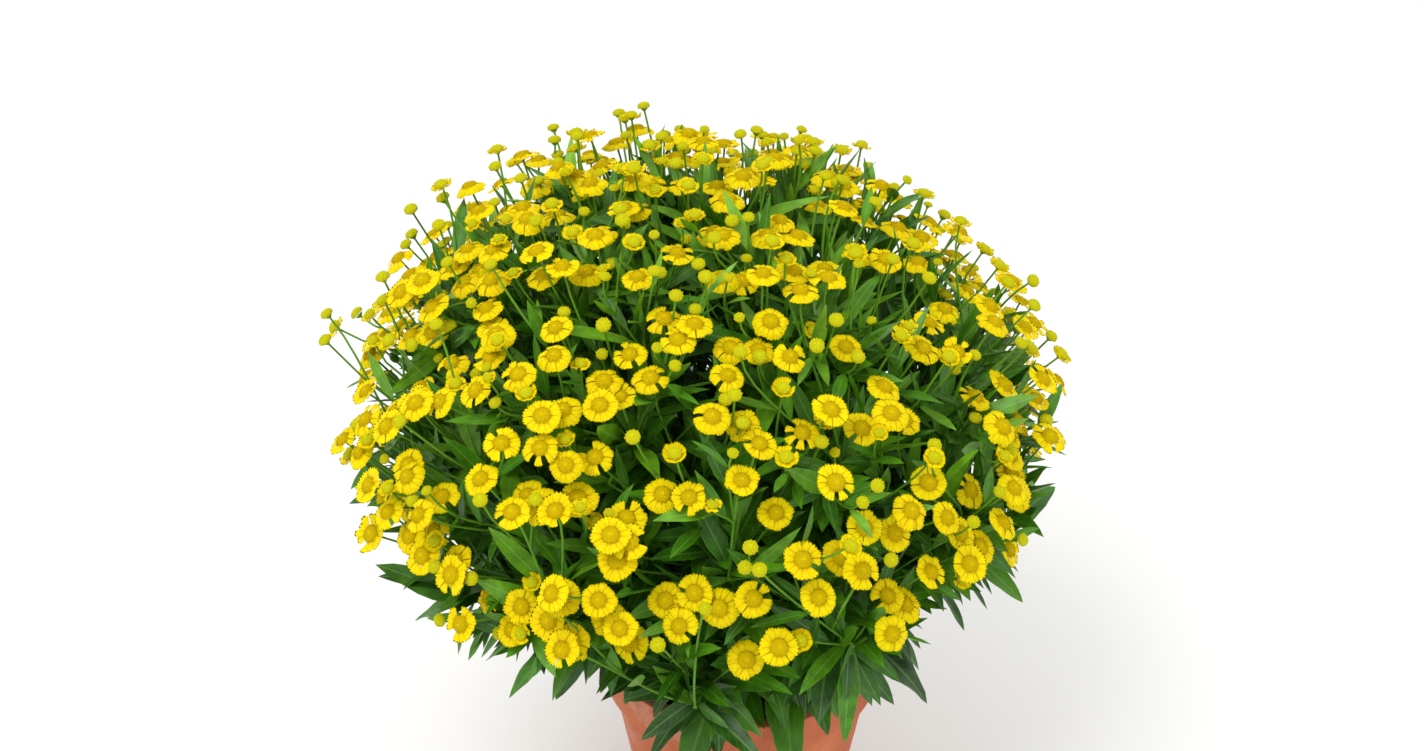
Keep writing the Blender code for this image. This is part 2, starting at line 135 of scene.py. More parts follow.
arch = parabola(np.array([[0.0, 0, 0]]), np.array([[1.0, 0, 2]]), np.array([[2.0, 0, 0]]), 5)
print("an arch two wide that bends towards a height of two rises to", arch[..., 2].max())

# %% [markdown]
# Reading the layout back: each coarse bloom is a tip with a ring of ten points round it, a neck of
# three and a foot of three on the stem. A young head has a ring of four, and a leaf two rings of four.
# Walking inwards from each point that could be a tip, ring by ring, finds what it is the tip of.

# %% Rings round a tip
WIDEST_RING = 0.046  # no shoot's ring is wider
THICKEST_RIB = 0.0025  # and a blade's rib is thinner than this
FORMS = {(10, 3, 3): "bloom", (4, 3, 3): "young", (4, 4, 3): "leaf"}


def rings_inwards(tip, near):
    """Three rings of point numbers, each the neighbours of the one before."""
    seen = {tip}
    ring = {tip}
    rings = []
    for step in range(3):
        ring = set().union(*(near[number] for number in ring)) - seen
        seen |= ring
        rings.append(sorted(ring))
    return rings


def spread(points):
    """The longest side of the box round some points."""
    return np.ptp(points, axis=0).max()


def edges_and_rib(points):
    """A leaf's row of four as its two edge points, which lie furthest apart, and its two rib points."""
    apart = np.linalg.norm(points[:, None] - points[None], axis=2)
    edges = np.unravel_index(apart.argmax(), apart.shape)
    return points[list(edges)], np.delete(points, edges, axis=0)


def is_shoot(form, rings):
    """True where the rings have a shoot's size, and a leaf's rib is as thin as a blade."""
    if spread(rings[0]) > WIDEST_RING or spread(rings[1]) > WIDEST_RING:
        return False
    return form != "leaf" or spread(edges_and_rib(rings[1])[1]) < THICKEST_RIB


print("corners of the three rings", FORMS)

# %% [markdown]
# The solids come as loose triangles, so corners in the same place are merged first. What is left of a
# stem once its shoots are taken off is a stack of threes, which are read from the lowest up.

# %% Read one stem
WELD = 0.00005  # corners nearer than this are one
STEM_CORNERS = 3  # corners of a ring of the coarse stem
TIP_NEIGHBOURS = {counts[0] for counts in FORMS}


def read_stem(name):
    """A leafy stem's shoots, as (form, tip, rings of points), and the middles of its own rings."""
    work = bmesh.new()
    work.from_mesh(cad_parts[name].data)
    bmesh.ops.remove_doubles(work, verts=work.verts, dist=WELD)
    work.verts.index_update()
    points = np.array([vertex.co for vertex in work.verts])
    near = [{edge.other_vert(vertex).index for edge in vertex.link_edges} for vertex in work.verts]
    work.free()
    shoots = []
    own = set(range(len(points)))
    for tip in [number for number in range(len(points)) if len(near[number]) in TIP_NEIGHBOURS]:
        rings = rings_inwards(tip, near)
        form = FORMS.get(tuple(len(ring) for ring in rings))
        if form and is_shoot(form, [points[ring] for ring in rings]):
            shoots.append((form, points[tip], [points[ring] for ring in rings]))
            own -= {tip, *rings[0], *rings[1]}
    ring = set(sorted(own, key=lambda number: points[number][2])[:STEM_CORNERS])
    middles = []
    while ring:
        middles.append(points[sorted(ring)].mean(axis=0))
        own -= ring
        ring = set().union(*(near[number] for number in ring)) & own
    return sorted(shoots, key=lambda shoot: tuple(shoot[1])), np.array(middles)


print(stem_nodes[0], "has", len(read_stem(stem_nodes[0])[0]), "shoots")

# %% [markdown]
# Each stem is read in turn. What is printed should agree with what was built: 355 blooms, 119 young
# heads, 176 leaves, and fourteen rings up each stem.

# %% Read every stem
stem_middles = []
found = {"bloom": [], "young": [], "leaf": []}
for index, name in enumerate(stem_nodes):
    shoots, middles = read_stem(name)
    stem_middles.append(middles)
    for form, tip, rings in shoots:
        found[form].append((index, tip, rings))
print({form: len(shoots) for form, shoots in found.items()}, {len(middles) for middles in stem_middles})

# %% [markdown]
# A head's facing runs from the middle of its neck to its tip, and its radius is that of its rim, seen
# along the facing. The rings of all heads go into one table of arrays, so that one line of numpy works
# on every head.

# %% Heads as arrays


def head_table(shoots):
    """Foot, neck, tip, facing, radius and stem number of each head."""
    neck = np.array([rings[1].mean(axis=0) for stem, tip, rings in shoots])
    tip = np.array([tip for stem, tip, rings in shoots])
    facing = unit(tip - neck)
    rims = [rings[0] - under for (stem, tip, rings), under in zip(shoots, neck)]
    flat = [rim - dot(rim, way) * way for rim, way in zip(rims, facing)]
    return {
        "foot": np.array([rings[2].mean(axis=0) for stem, tip, rings in shoots]),
        "neck": neck, "tip": tip, "facing": facing,
        "radius": np.array([np.linalg.norm(rim, axis=1).max() for rim in flat]),
        "stem": np.array([stem for stem, tip, rings in shoots]),
    }


blooms = head_table(found["bloom"])
young = head_table(found["young"])
print("bloom radius mm", (blooms["radius"].min() * 1000).round(1), (blooms["radius"].max() * 1000).round(1))

# %% [markdown]
# A leaf's blade is known from its widest row: the two points that lie furthest apart are its edges, and
# the other two are its rib. That row lies a third of the way along, where a parabola is four ninths
# foot, four ninths bend and one ninth tip. So the bend is worked out from the foot, that row and the tip.

# %% Leaves as arrays


def leaf_row(points):
    """A row's rib, the direction from one edge to the other, the width, and the way the trough opens."""
    edges, rib = edges_and_rib(points)
    middle = rib.mean(axis=0)
    return middle, np.linalg.norm(edges[0] - edges[1]), unit(edges.mean(axis=0) - middle)


def leaf_table(shoots):
    """Foot, bend, tip, open side and width of each leaf."""
    foot = np.array([rings[2].mean(axis=0) for stem, tip, rings in shoots])
    tip = np.array([tip for stem, tip, rings in shoots])
    rows = [leaf_row(rings[1]) for stem, tip, rings in shoots]
    rib = np.array([row[0] for row in rows])
    return {
        "foot": foot, "tip": tip, "bend": (9 * rib - 4 * foot - tip) / 4,
        "width": np.array([row[1] for row in rows]), "lift": np.array([row[2] for row in rows]),
    }


leaves = leaf_table(found["leaf"])
print("leaf width mm", (leaves["width"].min() * 1000).round(1), (leaves["width"].max() * 1000).round(1))

# %% [markdown]
# Much on a plant changes with place: leaves are painted lighter near the mound's skin and its top and
# darker inside it, as painted light and shade, and the highest blooms are the youngest and smallest. Two
# shares say where a point lies in the mound.

# %% Places in the mound
HIGH_BLOOMS_SMALLER = 0.13  # share of its radius that the highest bloom loses
all_tips = np.concatenate([blooms["tip"], young["tip"], leaves["tip"]])
mound_low, mound_high = all_tips.min(axis=0), all_tips.max(axis=0)
mound_middle, mound_radii = (mound_low + mound_high) / 2, (mound_high - mound_low) / 2


def depth_share(points):
    """How far out points lie, from 0 at the mound's middle to 1 at its skin."""
    return np.linalg.norm((points - mound_middle) / mound_radii, axis=-1)


def height_share(points):
    """How high points lie, from 0 at the mound's lowest tip to 1 at its highest."""
    return (points[..., 2] - mound_low[2]) / (mound_high[2] - mound_low[2])


blooms["radius"] = blooms["radius"] * (1 - HIGH_BLOOMS_SMALLER * height_share(blooms["tip"]) ** 2)
print("mound radii mm", (mound_radii * 1000).round())

# %% [markdown]
# A stem's fourteen ring middles are too few for a smooth curve, so a cubic is run through them. Stalks
# leave the stem along it and turn up into their head, which a cubic with a slope at each end gives.

# %% Paths of stems and stalks
STEM_ROWS = 44  # rings along a stem
STALK_ROWS = 9  # and along a stalk
STEM_FOOT_RADIUS = 0.0027
STEM_TOP_RADIUS = 0.0018
ALONG_STEM = 0.55  # pull of the stem's way on a stalk's start
SUNK_IN = 0.4  # share of the way to the stem's middle at which a stalk starts


def smooth_path(points, rows):
    """A cubic through points, by the neighbours' slopes, read at even shares of its length."""
    lengths = np.concatenate([[0], np.cumsum(np.linalg.norm(np.diff(points, axis=0), axis=1))])
    slope = np.gradient(points, lengths, axis=0)
    goal = np.linspace(0, lengths[-1], rows)
    piece = np.clip(np.searchsorted(lengths, goal, side="right") - 1, 0, len(points) - 2)
    span = (lengths[piece + 1] - lengths[piece])[:, None]
    t = (goal - lengths[piece])[:, None] / span
    return cubic(points[piece], points[piece + 1], span * slope[piece], span * slope[piece + 1], t)


def stalk_paths(foot, along, table):
    """Cubics from each foot, which they leave partly along the way given, to each neck, along its facing."""
    chord = table["neck"] - foot
    length = np.linalg.norm(chord, axis=1)[:, None]
    leave = unit(unit(chord) + ALONG_STEM * along) * length
    arrive = table["facing"] * length
    t = np.linspace(0, 1, STALK_ROWS)[None, :, None]
    return cubic(foot[:, None], table["neck"][:, None], leave[:, None], arrive[:, None], t)


def from_stems(table):
    """Stalk paths whose feet are sunk a little into the stems that they stand on."""
    stems = stem_paths[table["stem"]]
    nearest = np.linalg.norm(stems - table["foot"][:, None], axis=2).argmin(axis=1)
    each = np.arange(len(nearest))
    foot = table["foot"] + (stems[each, nearest] - table["foot"]) * SUNK_IN
    return stalk_paths(foot, slopes(stems)[each, nearest], table)


stem_paths = np.array([smooth_path(middles, STEM_ROWS) for middles in stem_middles])
stem_share = np.linspace(0, 1, STEM_ROWS)
stem_radii = STEM_FOOT_RADIUS + (STEM_TOP_RADIUS - STEM_FOOT_RADIUS) * stem_share
bloom_stalks = from_stems(blooms)
young_stalks = from_stems(young)
print("stems", stem_paths.shape, "bloom stalks", bloom_stalks.shape, "young stalks", young_stalks.shape)

# %% [markdown]
# Sneezeweed forks below its blooms, and the forks end in young heads. The solids have the larger ones.
# More are added here on thin side stalks, mostly near the top, where the photo shows most of them. Each
# is kept only where it is clear of every other head.

# %% Young heads on side stalks
SIDE_TRIES = 900  # places tried
SIDE_HEADS = 195  # heads kept
SIDE_CLEAR = 0.0108  # least distance between the tips of two heads
SIDE_FORK = (0.35, 0.7)  # share of the bloom's stalk at which it forks
SIDE_TILT = (0.3, 0.22)  # pull of the sky and of chance on a head's facing
SIDE_REACH = (0.015, 0.027)  # distance beside the bloom
SIDE_RISE = (-0.010, 0.020)  # and above it
SIDE_RADIUS = (0.0036, 0.0054)
LOW_STALK_WEIGHT = 0.06  # chance of a fork on the lowest stalk, to one on the highest
MOUND_SKIN = 1.03  # no tip lies further out, in radii of the mound
young_rise = np.median(np.linalg.norm(young["tip"] - young["neck"], axis=1) / young["radius"])


def side_heads(draw):
    """A table of young heads on forks of the blooms' stalks, and the stalks' paths."""
    weight = LOW_STALK_WEIGHT + height_share(blooms["tip"]) ** 3
    owner = draw.choice(len(weight), SIDE_TRIES, p=weight / weight.sum())
    foot, along = read_out(bloom_stalks[owner], draw.uniform(*SIDE_FORK, SIDE_TRIES))
    upward, askew = SIDE_TILT
    facing = unit(blooms["facing"][owner] + upward * UP + draw.normal(0, askew, (SIDE_TRIES, 3)))
    side = square_to(draw.normal(0, 1, (SIDE_TRIES, 3)), blooms["facing"][owner])
    neck = blooms["neck"][owner] + side * draw.uniform(*SIDE_REACH, (SIDE_TRIES, 1))
    neck = neck + blooms["facing"][owner] * draw.uniform(*SIDE_RISE, (SIDE_TRIES, 1))
    radius = draw.uniform(*SIDE_RADIUS, SIDE_TRIES)
    tip = neck + facing * (radius * young_rise)[:, None]
    taken = np.concatenate([blooms["tip"], young["tip"]])
    chosen = []
    for number in range(SIDE_TRIES):
        others = np.concatenate([taken, tip[chosen]])
        clear = np.linalg.norm(others - tip[number], axis=1).min() > SIDE_CLEAR
        if clear and depth_share(tip[number]) < MOUND_SKIN and len(chosen) < SIDE_HEADS:
            chosen.append(number)
    table = {"foot": foot, "neck": neck, "tip": tip, "facing": facing, "radius": radius,
             "stem": blooms["stem"][owner]}
    table = {key: values[chosen] for key, values in table.items()}
    return table, stalk_paths(table["foot"], along[chosen], table)


side_young, side_stalks = side_heads(np.random.default_rng(10))
young = {key: np.concatenate([young[key], side_young[key]]) for key in young}
young_stalks = np.concatenate([young_stalks, side_stalks])
print("young heads", len(young["tip"]), "of which on side stalks", len(side_stalks))

# %% [markdown]
# Every piece of the plant is a batch of closed shells: rings of points in rows, capped at the foot and
# drawn to a point or capped at the tip. Each point also keeps three numbers for the materials: how far
# along its shell it lies, how far across, and a shade of its own.

# %% Batches of shells


def shells(rings, along, across, shade, tips=None):
    """A batch of shells as (shell, row, round, xyz), with three numbers a point and perhaps a tip each."""
    shape = rings.shape[:3]
    return {"rings": rings, "tips": tips, "along": np.broadcast_to(along, shape),
            "across": np.broadcast_to(across, shape), "shade": np.broadcast_to(shade, shape)}


def corners_of(batch, start):
    """A batch's faces as arrays of corner numbers: four-sided walls, foot caps, and tips or tip caps."""
    count, rows, around, xyz = batch["rings"].shape
    number = start + np.arange(count * rows * around).reshape(count, rows, around)
    beside = np.roll(number, -1, axis=2)
    walls = np.stack([number[:, :-1], beside[:, :-1], beside[:, 1:], number[:, 1:]], axis=-1)
    faces = [walls.reshape(-1, 4), number[:, 0, ::-1]]
    if batch["tips"] is None:
        return faces + [number[:, -1]]
    tip = np.broadcast_to(number[-1, -1, -1] + 1 + np.arange(count)[:, None], (count, around))
    return faces + [np.stack([number[:, -1], beside[:, -1], tip], axis=-1).reshape(-1, 3)]


def with_tips(batch, key, tip_value):
    """A batch's numbers of one kind for all its points, the tips' last."""
    values = batch[key].reshape(-1)
    if batch["tips"] is None:
        return values
    last = batch[key][:, -1, 0] if tip_value is None else np.full(len(batch["tips"]), tip_value)
    return np.concatenate([values, last])


rod = shells(np.zeros((1, 2, 4, 3)), 0, 0, 0)
print("a four-sided rod has", sum(len(faces) for faces in corners_of(rod, 0)), "faces")

# %% [markdown]
# A finished piece says two things to the imported model: which body it rides on, and which coarse nodes
# it stands for. Its object stays at the origin, as theirs do.

# %% Place a piece


def place_piece(name, mesh, nodes):
    """An object for a mesh. It rides on the only body and stands for the named nodes."""
    piece = bpy.data.objects.new(name, mesh)
    bpy.context.scene.collection.objects.link(piece)
    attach(piece, "root")
    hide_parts(*nodes)
    mesh.calc_loop_triangles()
    print(name, len(mesh.loop_triangles), "triangles")


print("nodes to stand for:", len(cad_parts))

# %% [markdown]
# Blender keeps a mesh as flat lists: the points, the corners of all faces in a row, and where each face
# starts. numpy makes those lists, and foreach_set hands each over at once. Adding face by face would
# give the same mesh and take minutes.

# %% Make a piece
SHARP_ANGLE = math.radians(48)


def make_piece(name, batches, finish, nodes, sharp=SHARP_ANGLE):
    """One piece from batches of shells."""
    start = 0
    points = []
    faces = []
    for batch in batches:
        faces += corners_of(batch, start)
        points.append(batch["rings"].reshape(-1, 3))
        if batch["tips"] is not None:
            points.append(batch["tips"])
        start = sum(len(part) for part in points)
    points = np.concatenate(points)
    sizes = np.concatenate([np.full(len(face), face.shape[1]) for face in faces])
    corners = np.concatenate([face.reshape(-1) for face in faces])
    mesh = bpy.data.meshes.new(name)
    mesh.vertices.add(len(points))
    mesh.vertices.foreach_set("co", points.astype(np.float32).reshape(-1))
    mesh.loops.add(len(corners))
    mesh.loops.foreach_set("vertex_index", corners.astype(np.int32))
    mesh.polygons.add(len(sizes))
    mesh.polygons.foreach_set("loop_start", np.concatenate([[0], np.cumsum(sizes)[:-1]]).astype(np.int32))
    mesh.polygons.foreach_set("loop_total", sizes.astype(np.int32))
    for key, tip_value in (("along", 1.0), ("across", 0.0), ("shade", None)):
        values = np.concatenate([with_tips(batch, key, tip_value) for batch in batches])
        mesh.attributes.new(key, "FLOAT", "POINT").data.foreach_set("value", values.astype(np.float32))
    mesh.update(calc_edges=True)
    mesh.validate()
    mesh.shade_smooth()
    mesh.set_sharp_from_angle(angle=sharp)
    mesh.materials.append(finish)
    place_piece(name, mesh, nodes)


print("edges that turn by more than", round(math.degrees(SHARP_ANGLE)), "degrees stay sharp")

# %% [markdown]
# Stems, stalks and chips of bark are round tubes. Blender's curves can be given a round bevel, but rings
# worked out here can change their radius from row to row and carry their numbers for the finish.

# %% Round tubes


def round_rings(paths, radii, around):
    """Round tubes along paths. Each ring is square to its path, and radii is (path, row)."""
    ways = slopes(paths)
    side = square_to(unit(np.cross(paths[:, -1] - paths[:, 0], ASKEW))[:, None], ways)
    spokes = turned(side[:, :, None], np.cross(ways, side)[:, :, None], even_turns(around))
    return paths[:, :, None] + spokes * radii[..., None, None]


print("one stem as an eight-sided tube", round_rings(stem_paths[:1], stem_radii[None], 8).shape)

# %% [markdown]
# Colours are written as sRGB hex values, which is how a colour picker shows them, and Blender's shaders
# want linear ones. One function turns them, one adds a node with its settings and links, and two more
# begin and end a finish.

# %% Colours and nodes


def linear(colour):
    """An sRGB hex colour as linear red, green, blue and alpha, by the curve that defines sRGB."""
    channels = np.array([int(colour[place:place + 2], 16) for place in (1, 3, 5)]) / 255
    raised = ((channels + 0.055) / 1.055) ** 2.4
    return (*np.where(channels <= 0.04045, channels / 12.92, raised), 1.0)


def add(finish, kind, links=None, stops=(), **settings):
    """Add a node to a finish. Its inputs take values or other nodes' outputs, and a ramp its stops."""
    node = finish.node_tree.nodes.new(kind)
    for name, value in settings.items():
        setattr(node, name, value)
    for name, value in (links or {}).items():
        if isinstance(value, bpy.types.NodeSocket):
            finish.node_tree.links.new(value, node.inputs[name])
        else:
            node.inputs[name].default_value = value
    for number, (place, colour) in enumerate(stops):
        elements = node.color_ramp.elements
        element = elements[number] if number < 2 else elements.new(place)
        element.position = place
        element.color = linear(colour)
    return node


def new_finish(name, **settings):
    """A node material and its shader, with the shader's own plain values set."""
    finish = bpy.data.materials.new(name)
    finish.use_nodes = True
    shader = finish.node_tree.nodes["Principled BSDF"]
    for socket, value in settings.items():
        shader.inputs[socket.replace("_", " ")].default_value = value
    print("finish", name)
    return finish, shader


def plugged(finish, shader, colour, bump):
    """The finish, with the last nodes of its colour and its bump linked into the shader."""
    finish.node_tree.links.new(colour.outputs[0], shader.inputs["Base Color"])
    if bump:
        finish.node_tree.links.new(bump.outputs[0], shader.inputs["Normal"])
    return finish


print("#808080 is", round(linear("#808080")[0], 3), "in linear light")

# %% [markdown]
# Sneezeweed petals are living tissue, thin and satin, golden where they leave the disc and a strong
# clear yellow further out, with fine lengthwise grooves. Each ray's edges are painted darker, as painted
# shade where the rays overlap. The colour follows the petal's own length, so it reads the attribute and
# not the place in space.

# %% Petal finish
PETAL_GROOVES = 7  # half waves from the rib to the edge


def petal_finish():
    """Ray petals, grown: a golden foot, a clear yellow blade, grooves along it, and edges painted darker as
    the shade where rays overlap.
    """
    finish, shader = new_finish("living_ray_petal", Roughness=0.6, IOR=1.4, Specular_IOR_Level=0.12,
                                Subsurface_Weight=0.45, Subsurface_Radius=(1.0, 0.95, 0.04),
                                Subsurface_Scale=0.0016)
    along, across, shade = (add(finish, "ShaderNodeAttribute", attribute_name=name).outputs["Fac"]
                            for name in ("along", "across", "shade"))
    length = add(finish, "ShaderNodeValToRGB", {"Fac": along}, stops=(
        (0.0, "#DCBA00"), (0.22, "#EED000"), (0.45, "#F2D800"), (1.0, "#F5DC00")))
    older = add(finish, "ShaderNodeValToRGB", {"Fac": shade}, stops=((0.0, "#FFFFFF"), (1.0, "#F2DC70")))
    aged = add(finish, "ShaderNodeMixRGB", {"Fac": 0.45, "Color1": length.outputs["Color"],
                                            "Color2": older.outputs["Color"]}, blend_type="MULTIPLY")
    off_rib = add(finish, "ShaderNodeMath", {0: across}, operation="ABSOLUTE").outputs[0]
    # painted shade: the edges of each ray are darkened, for the shade where neighbouring rays overlap
    painted_edge_shading = add(finish, "ShaderNodeValToRGB", {"Fac": off_rib}, stops=((0.55, "#FFFFFF"), (1.0, "#E8D070")))
    tinted = add(finish, "ShaderNodeMixRGB", {"Fac": 0.45, "Color1": aged.outputs[0],
                                              "Color2": painted_edge_shading.outputs["Color"]}, blend_type="MULTIPLY")
    wave = add(finish, "ShaderNodeMath", {0: across, 1: PETAL_GROOVES * math.pi}, operation="MULTIPLY")
    groove = add(finish, "ShaderNodeMath", {0: wave.outputs[0]}, operation="COSINE")
    bump = add(finish, "ShaderNodeBump", {"Height": groove.outputs[0], "Strength": 0.35, "Distance": 0.0004})
    return plugged(finish, shader, tinted, bump)


petal_yellow = petal_finish()

# %% [markdown]
# The rays could be flat cards, but a sneezeweed is known by its wedge-shaped rays with three teeth.
# Each ray is a closed shell: seven points over its top, one keel point under it, in four rows. Rays
# widen with their distance from the middle, so that together they nearly close the ring. Every second
# one lies a little lower, so that neighbours overlap and don't cut each other.

# %% The section and rows of a ray
RAY_COUNT = 14
RAY_ACROSS = np.array([1, 0, -1, -2 / 3, -1 / 3, 0, 1 / 3, 2 / 3])  # edge, keel, edge, and back over the top
RAY_KEEL = np.array([0, 1, 0, 0, 0, 0, 0, 0])
RAY_ALONG = np.array([0.0, 0.45, 0.82, 1.0])  # rows, as shares of the length
RAY_THICKNESS = 0.0005
RAY_KEEL_DEPTHS = (1.3, -0.6)  # thicknesses at the foot, and the change to the end
RAY_SEAT = 0.0028  # height over the neck at which the rays start
RAY_SEAT_SHARE = 0.3  # and at most this share of the head's radius
RAY_SWELL = (1.04, 0.16, -0.14)  # width at the foot, and its change with the length and its square
RAY_RISE = 0.10  # slope at which a ray starts upwards
RAY_TEETH = 0.16  # depth of the cuts between the teeth, to the length
RAY_CORNERS = 0.12  # and how far the outer teeth stand back
RAY_FOLD = 0.0003  # height of the folds that run out to the teeth
RAY_EDGE_DROP = 0.0010  # how far the side edges hang
print("a ray has", len(RAY_ALONG), "rows of", len(RAY_ACROSS), "points")

# %% [markdown]
# No two rays are alike. They differ in reach, width and droop, and now and then one is lost. Copies of
# one bloom would look stamped, so all this is drawn at random for each ray. The draws come from a
# generator with a fixed seed, which gives the same plant on each run. Up high the rays droop more.

# %% How rays differ
RAY_MISSING = 0.05  # share of rays that are lost
RAY_TURN_SPREAD = 0.12  # of the step from ray to ray, either way
RAY_REACH = (0.92, 1.06)  # times the head's radius
RAY_WIDTH = (0.94, 1.20)  # times an equal share of the ring
RAY_LAYERS = (0.0004, -0.0003)  # heights of the even and the odd rays
RAY_LAYER_SPREAD = 0.00015
HEAD_DROOP_SPREAD = 0.17  # from head to head
RAY_DROOP_SPREAD = 0.07  # and from ray to ray
HEAD_TONE, RAY_TONE = 0.6, 0.4  # how far chance changes the tone of a head, and of each ray


def ray_draws(table, count, draw, droop, droop_high):
    """Turn, reach, droop, level, width and shade as (head, ray), and whether the ray is there."""
    number = len(table["tip"])
    spread = draw.uniform(-RAY_TURN_SPREAD, RAY_TURN_SPREAD, (number, count))
    turn = (np.arange(count) + spread) * FULL_TURN / count
    turn = turn + draw.uniform(0, FULL_TURN, (number, 1))
    reach = table["radius"][:, None] * draw.uniform(*RAY_REACH, (number, count))
    droop = droop + (droop_high - droop) * height_share(table["tip"])[:, None] ** 2
    sink = (droop + draw.normal(0, HEAD_DROOP_SPREAD, (number, 1))
            + draw.normal(0, RAY_DROOP_SPREAD, (number, count)))
    level = np.where(np.arange(count) % 2 == 0, *RAY_LAYERS)
    level = level + draw.normal(0, RAY_LAYER_SPREAD, (number, count))
    wide = draw.uniform(*RAY_WIDTH, (number, count))
    shade = draw.uniform(0, 1, (number, 1)) * HEAD_TONE + draw.uniform(0, RAY_TONE, (number, count))
    kept = draw.random((number, count)) > RAY_MISSING
    return turn, reach, sink, level, wide, np.clip(shade, 0, 1), kept


print("of a bloom's", RAY_COUNT, "rays about", round(RAY_COUNT * (1 - RAY_MISSING), 1), "are there")

# %% [markdown]
# The shape of a ray is then one formula on two numbers: how far along it a point lies, and how far
# across. numpy works it out for all points of all rays in one go.

# %% The shape of a ray


def ray_shells(table, count, inner_share, draw, droop, droop_high):
    """Rays round each head: wedges from inner_share of its radius out. A squared sine across the end
    cuts the three teeth, and a cosine across the blade lifts its folds."""
    turn, reach, sink, level, wide, shade, kept = ray_draws(table, count, draw, droop, droop_high)
    facing = table["facing"]
    middle = table["neck"] + facing * np.minimum(RAY_SEAT, table["radius"] * RAY_SEAT_SHARE)[:, None]
    side, other = square_pair(facing)
    out = turned(side[:, None], other[:, None], turn)
    beside = turned(other[:, None], -side[:, None], turn)
    inner = (table["radius"] * inner_share)[:, None].repeat(count, axis=1)
    inner, reach, sink, level, wide, shade = (
        values[kept][:, None, None] for values in (inner, reach, sink, level, wide, shade))
    x = RAY_ACROSS[None, None, :]
    v = RAY_ALONG[None, :, None]
    teeth = RAY_TEETH * np.sin(1.5 * math.pi * x) ** 2 + RAY_CORNERS * x ** 2
    far = inner + (reach - inner) * v * (1 - v ** 4 * teeth)
    swell = RAY_SWELL[0] + RAY_SWELL[1] * v + RAY_SWELL[2] * v ** 2
    half = math.pi / count * (inner + (reach - inner) * v) * wide * swell
    rise = (far - inner) * (RAY_RISE - sink * v) + level + RAY_FOLD * np.cos(3 * math.pi * x) * v
    keel = RAY_THICKNESS * RAY_KEEL * (RAY_KEEL_DEPTHS[0] + RAY_KEEL_DEPTHS[1] * v)
    rise = rise - keel - RAY_EDGE_DROP * x ** 2 * v
    middle, facing = (np.broadcast_to(each[:, None], out.shape) for each in (middle, facing))
    middle, facing, out, beside = (each[kept][:, None, None] for each in (middle, facing, out, beside))
    points = (middle + out * far[..., None] - beside * (x * half)[..., None] + facing * rise[..., None])
    return shells(points, v, x, shade)


one_bloom = {key: values[:1] for key, values in blooms.items()}
trial = ray_shells(one_bloom, RAY_COUNT, 0.4, np.random.default_rng(0), 0.1, 0.5)
print("a trial bloom has", len(trial["rings"]), "rays of", trial["rings"].shape[1:3], "points")

# %% [markdown]
# All rays together are too many faces for one piece, so the leafy stems are taken in three groups, with
# a piece of rays for each. The rays start under the disc's edge. Some young heads have begun to open,
# and get a fringe of short rays that still stand up.

# %% Rays by groups of stems
STEM_GROUPS = 3
DISC_SHARE = 0.48  # the disc's radius to the bloom's
RAY_START = 0.8 * DISC_SHARE  # rays start under the disc's edge
BLOOM_DROOP = (0.10, 0.50)  # slope down at the end, lowest and highest in the mound
FRINGED_SHARE = 0.35  # share of young heads that have begun to open
FRINGE_RAYS = 12
FRINGE_START = 0.5  # where it starts, in its own radii
FRINGE_REACH = 1.75  # the fringe's radius to the young head's
FRINGE_DROOP = (-0.5, -0.3)  # below zero, so it stands up


def in_group(table, group):
    """The rows of a table that belong to one of the groups of leafy stems."""
    mine = table["stem"] * STEM_GROUPS // len(stem_nodes) == group
    return {key: values[mine] for key, values in table.items()}


def group_nodes(group):
    """The names of the leafy stems in a group."""
    return [name for index, name in enumerate(stem_nodes) if index * STEM_GROUPS // len(stem_nodes) == group]


print("leafy stems a group", [len(group_nodes(group)) for group in range(STEM_GROUPS)])
draw = np.random.default_rng(11)
fringed = draw.random(len(young["tip"])) < FRINGED_SHARE
fringe = {key: values[fringed] for key, values in young.items()}
fringe["radius"] = fringe["radius"] * FRINGE_REACH
for group in range(STEM_GROUPS):
    make_piece(f"ray_petals_{group + 1}", [
        ray_shells(in_group(blooms, group), RAY_COUNT, RAY_START, draw, *BLOOM_DROOP),
        ray_shells(in_group(fringe, group), FRINGE_RAYS, FRINGE_START, draw, *FRINGE_DROOP),
    ], petal_yellow, group_nodes(group))

# %% [markdown]
# Tube florets are matte, and dusted with pollen where they are open. One plain gold would do from far
# off, but each floret has a tone of its own, and its foot is painted darker, as painted shade between
# its neighbours. Young heads get the same finish in yellow-green, because their florets are still shut.

# %% Floret finishes


def floret_finish(name, stops):
    """Tube florets, grown: matte and dusted with pollen, with a colour for each floret, and feet painted
    darker as the shade between florets.
    """
    finish, shader = new_finish(name, Roughness=0.8, IOR=1.4, Specular_IOR_Level=0.1)
    along, shade = (add(finish, "ShaderNodeAttribute", attribute_name=name).outputs["Fac"]
                    for name in ("along", "shade"))
    ramp = add(finish, "ShaderNodeValToRGB", {"Fac": shade}, stops=stops)
    # painted shade: low on each floret, and on the dome between the florets, the colour is darkened
    tips = add(finish, "ShaderNodeValToRGB", {"Fac": along}, stops=((0.0, "#BCB488"), (1.0, "#FFFFFF")))
    mixed = add(finish, "ShaderNodeMixRGB", {"Fac": 1.0, "Color1": ramp.outputs["Color"],
                                             "Color2": tips.outputs["Color"]}, blend_type="MULTIPLY")
    return plugged(finish, shader, mixed, None)


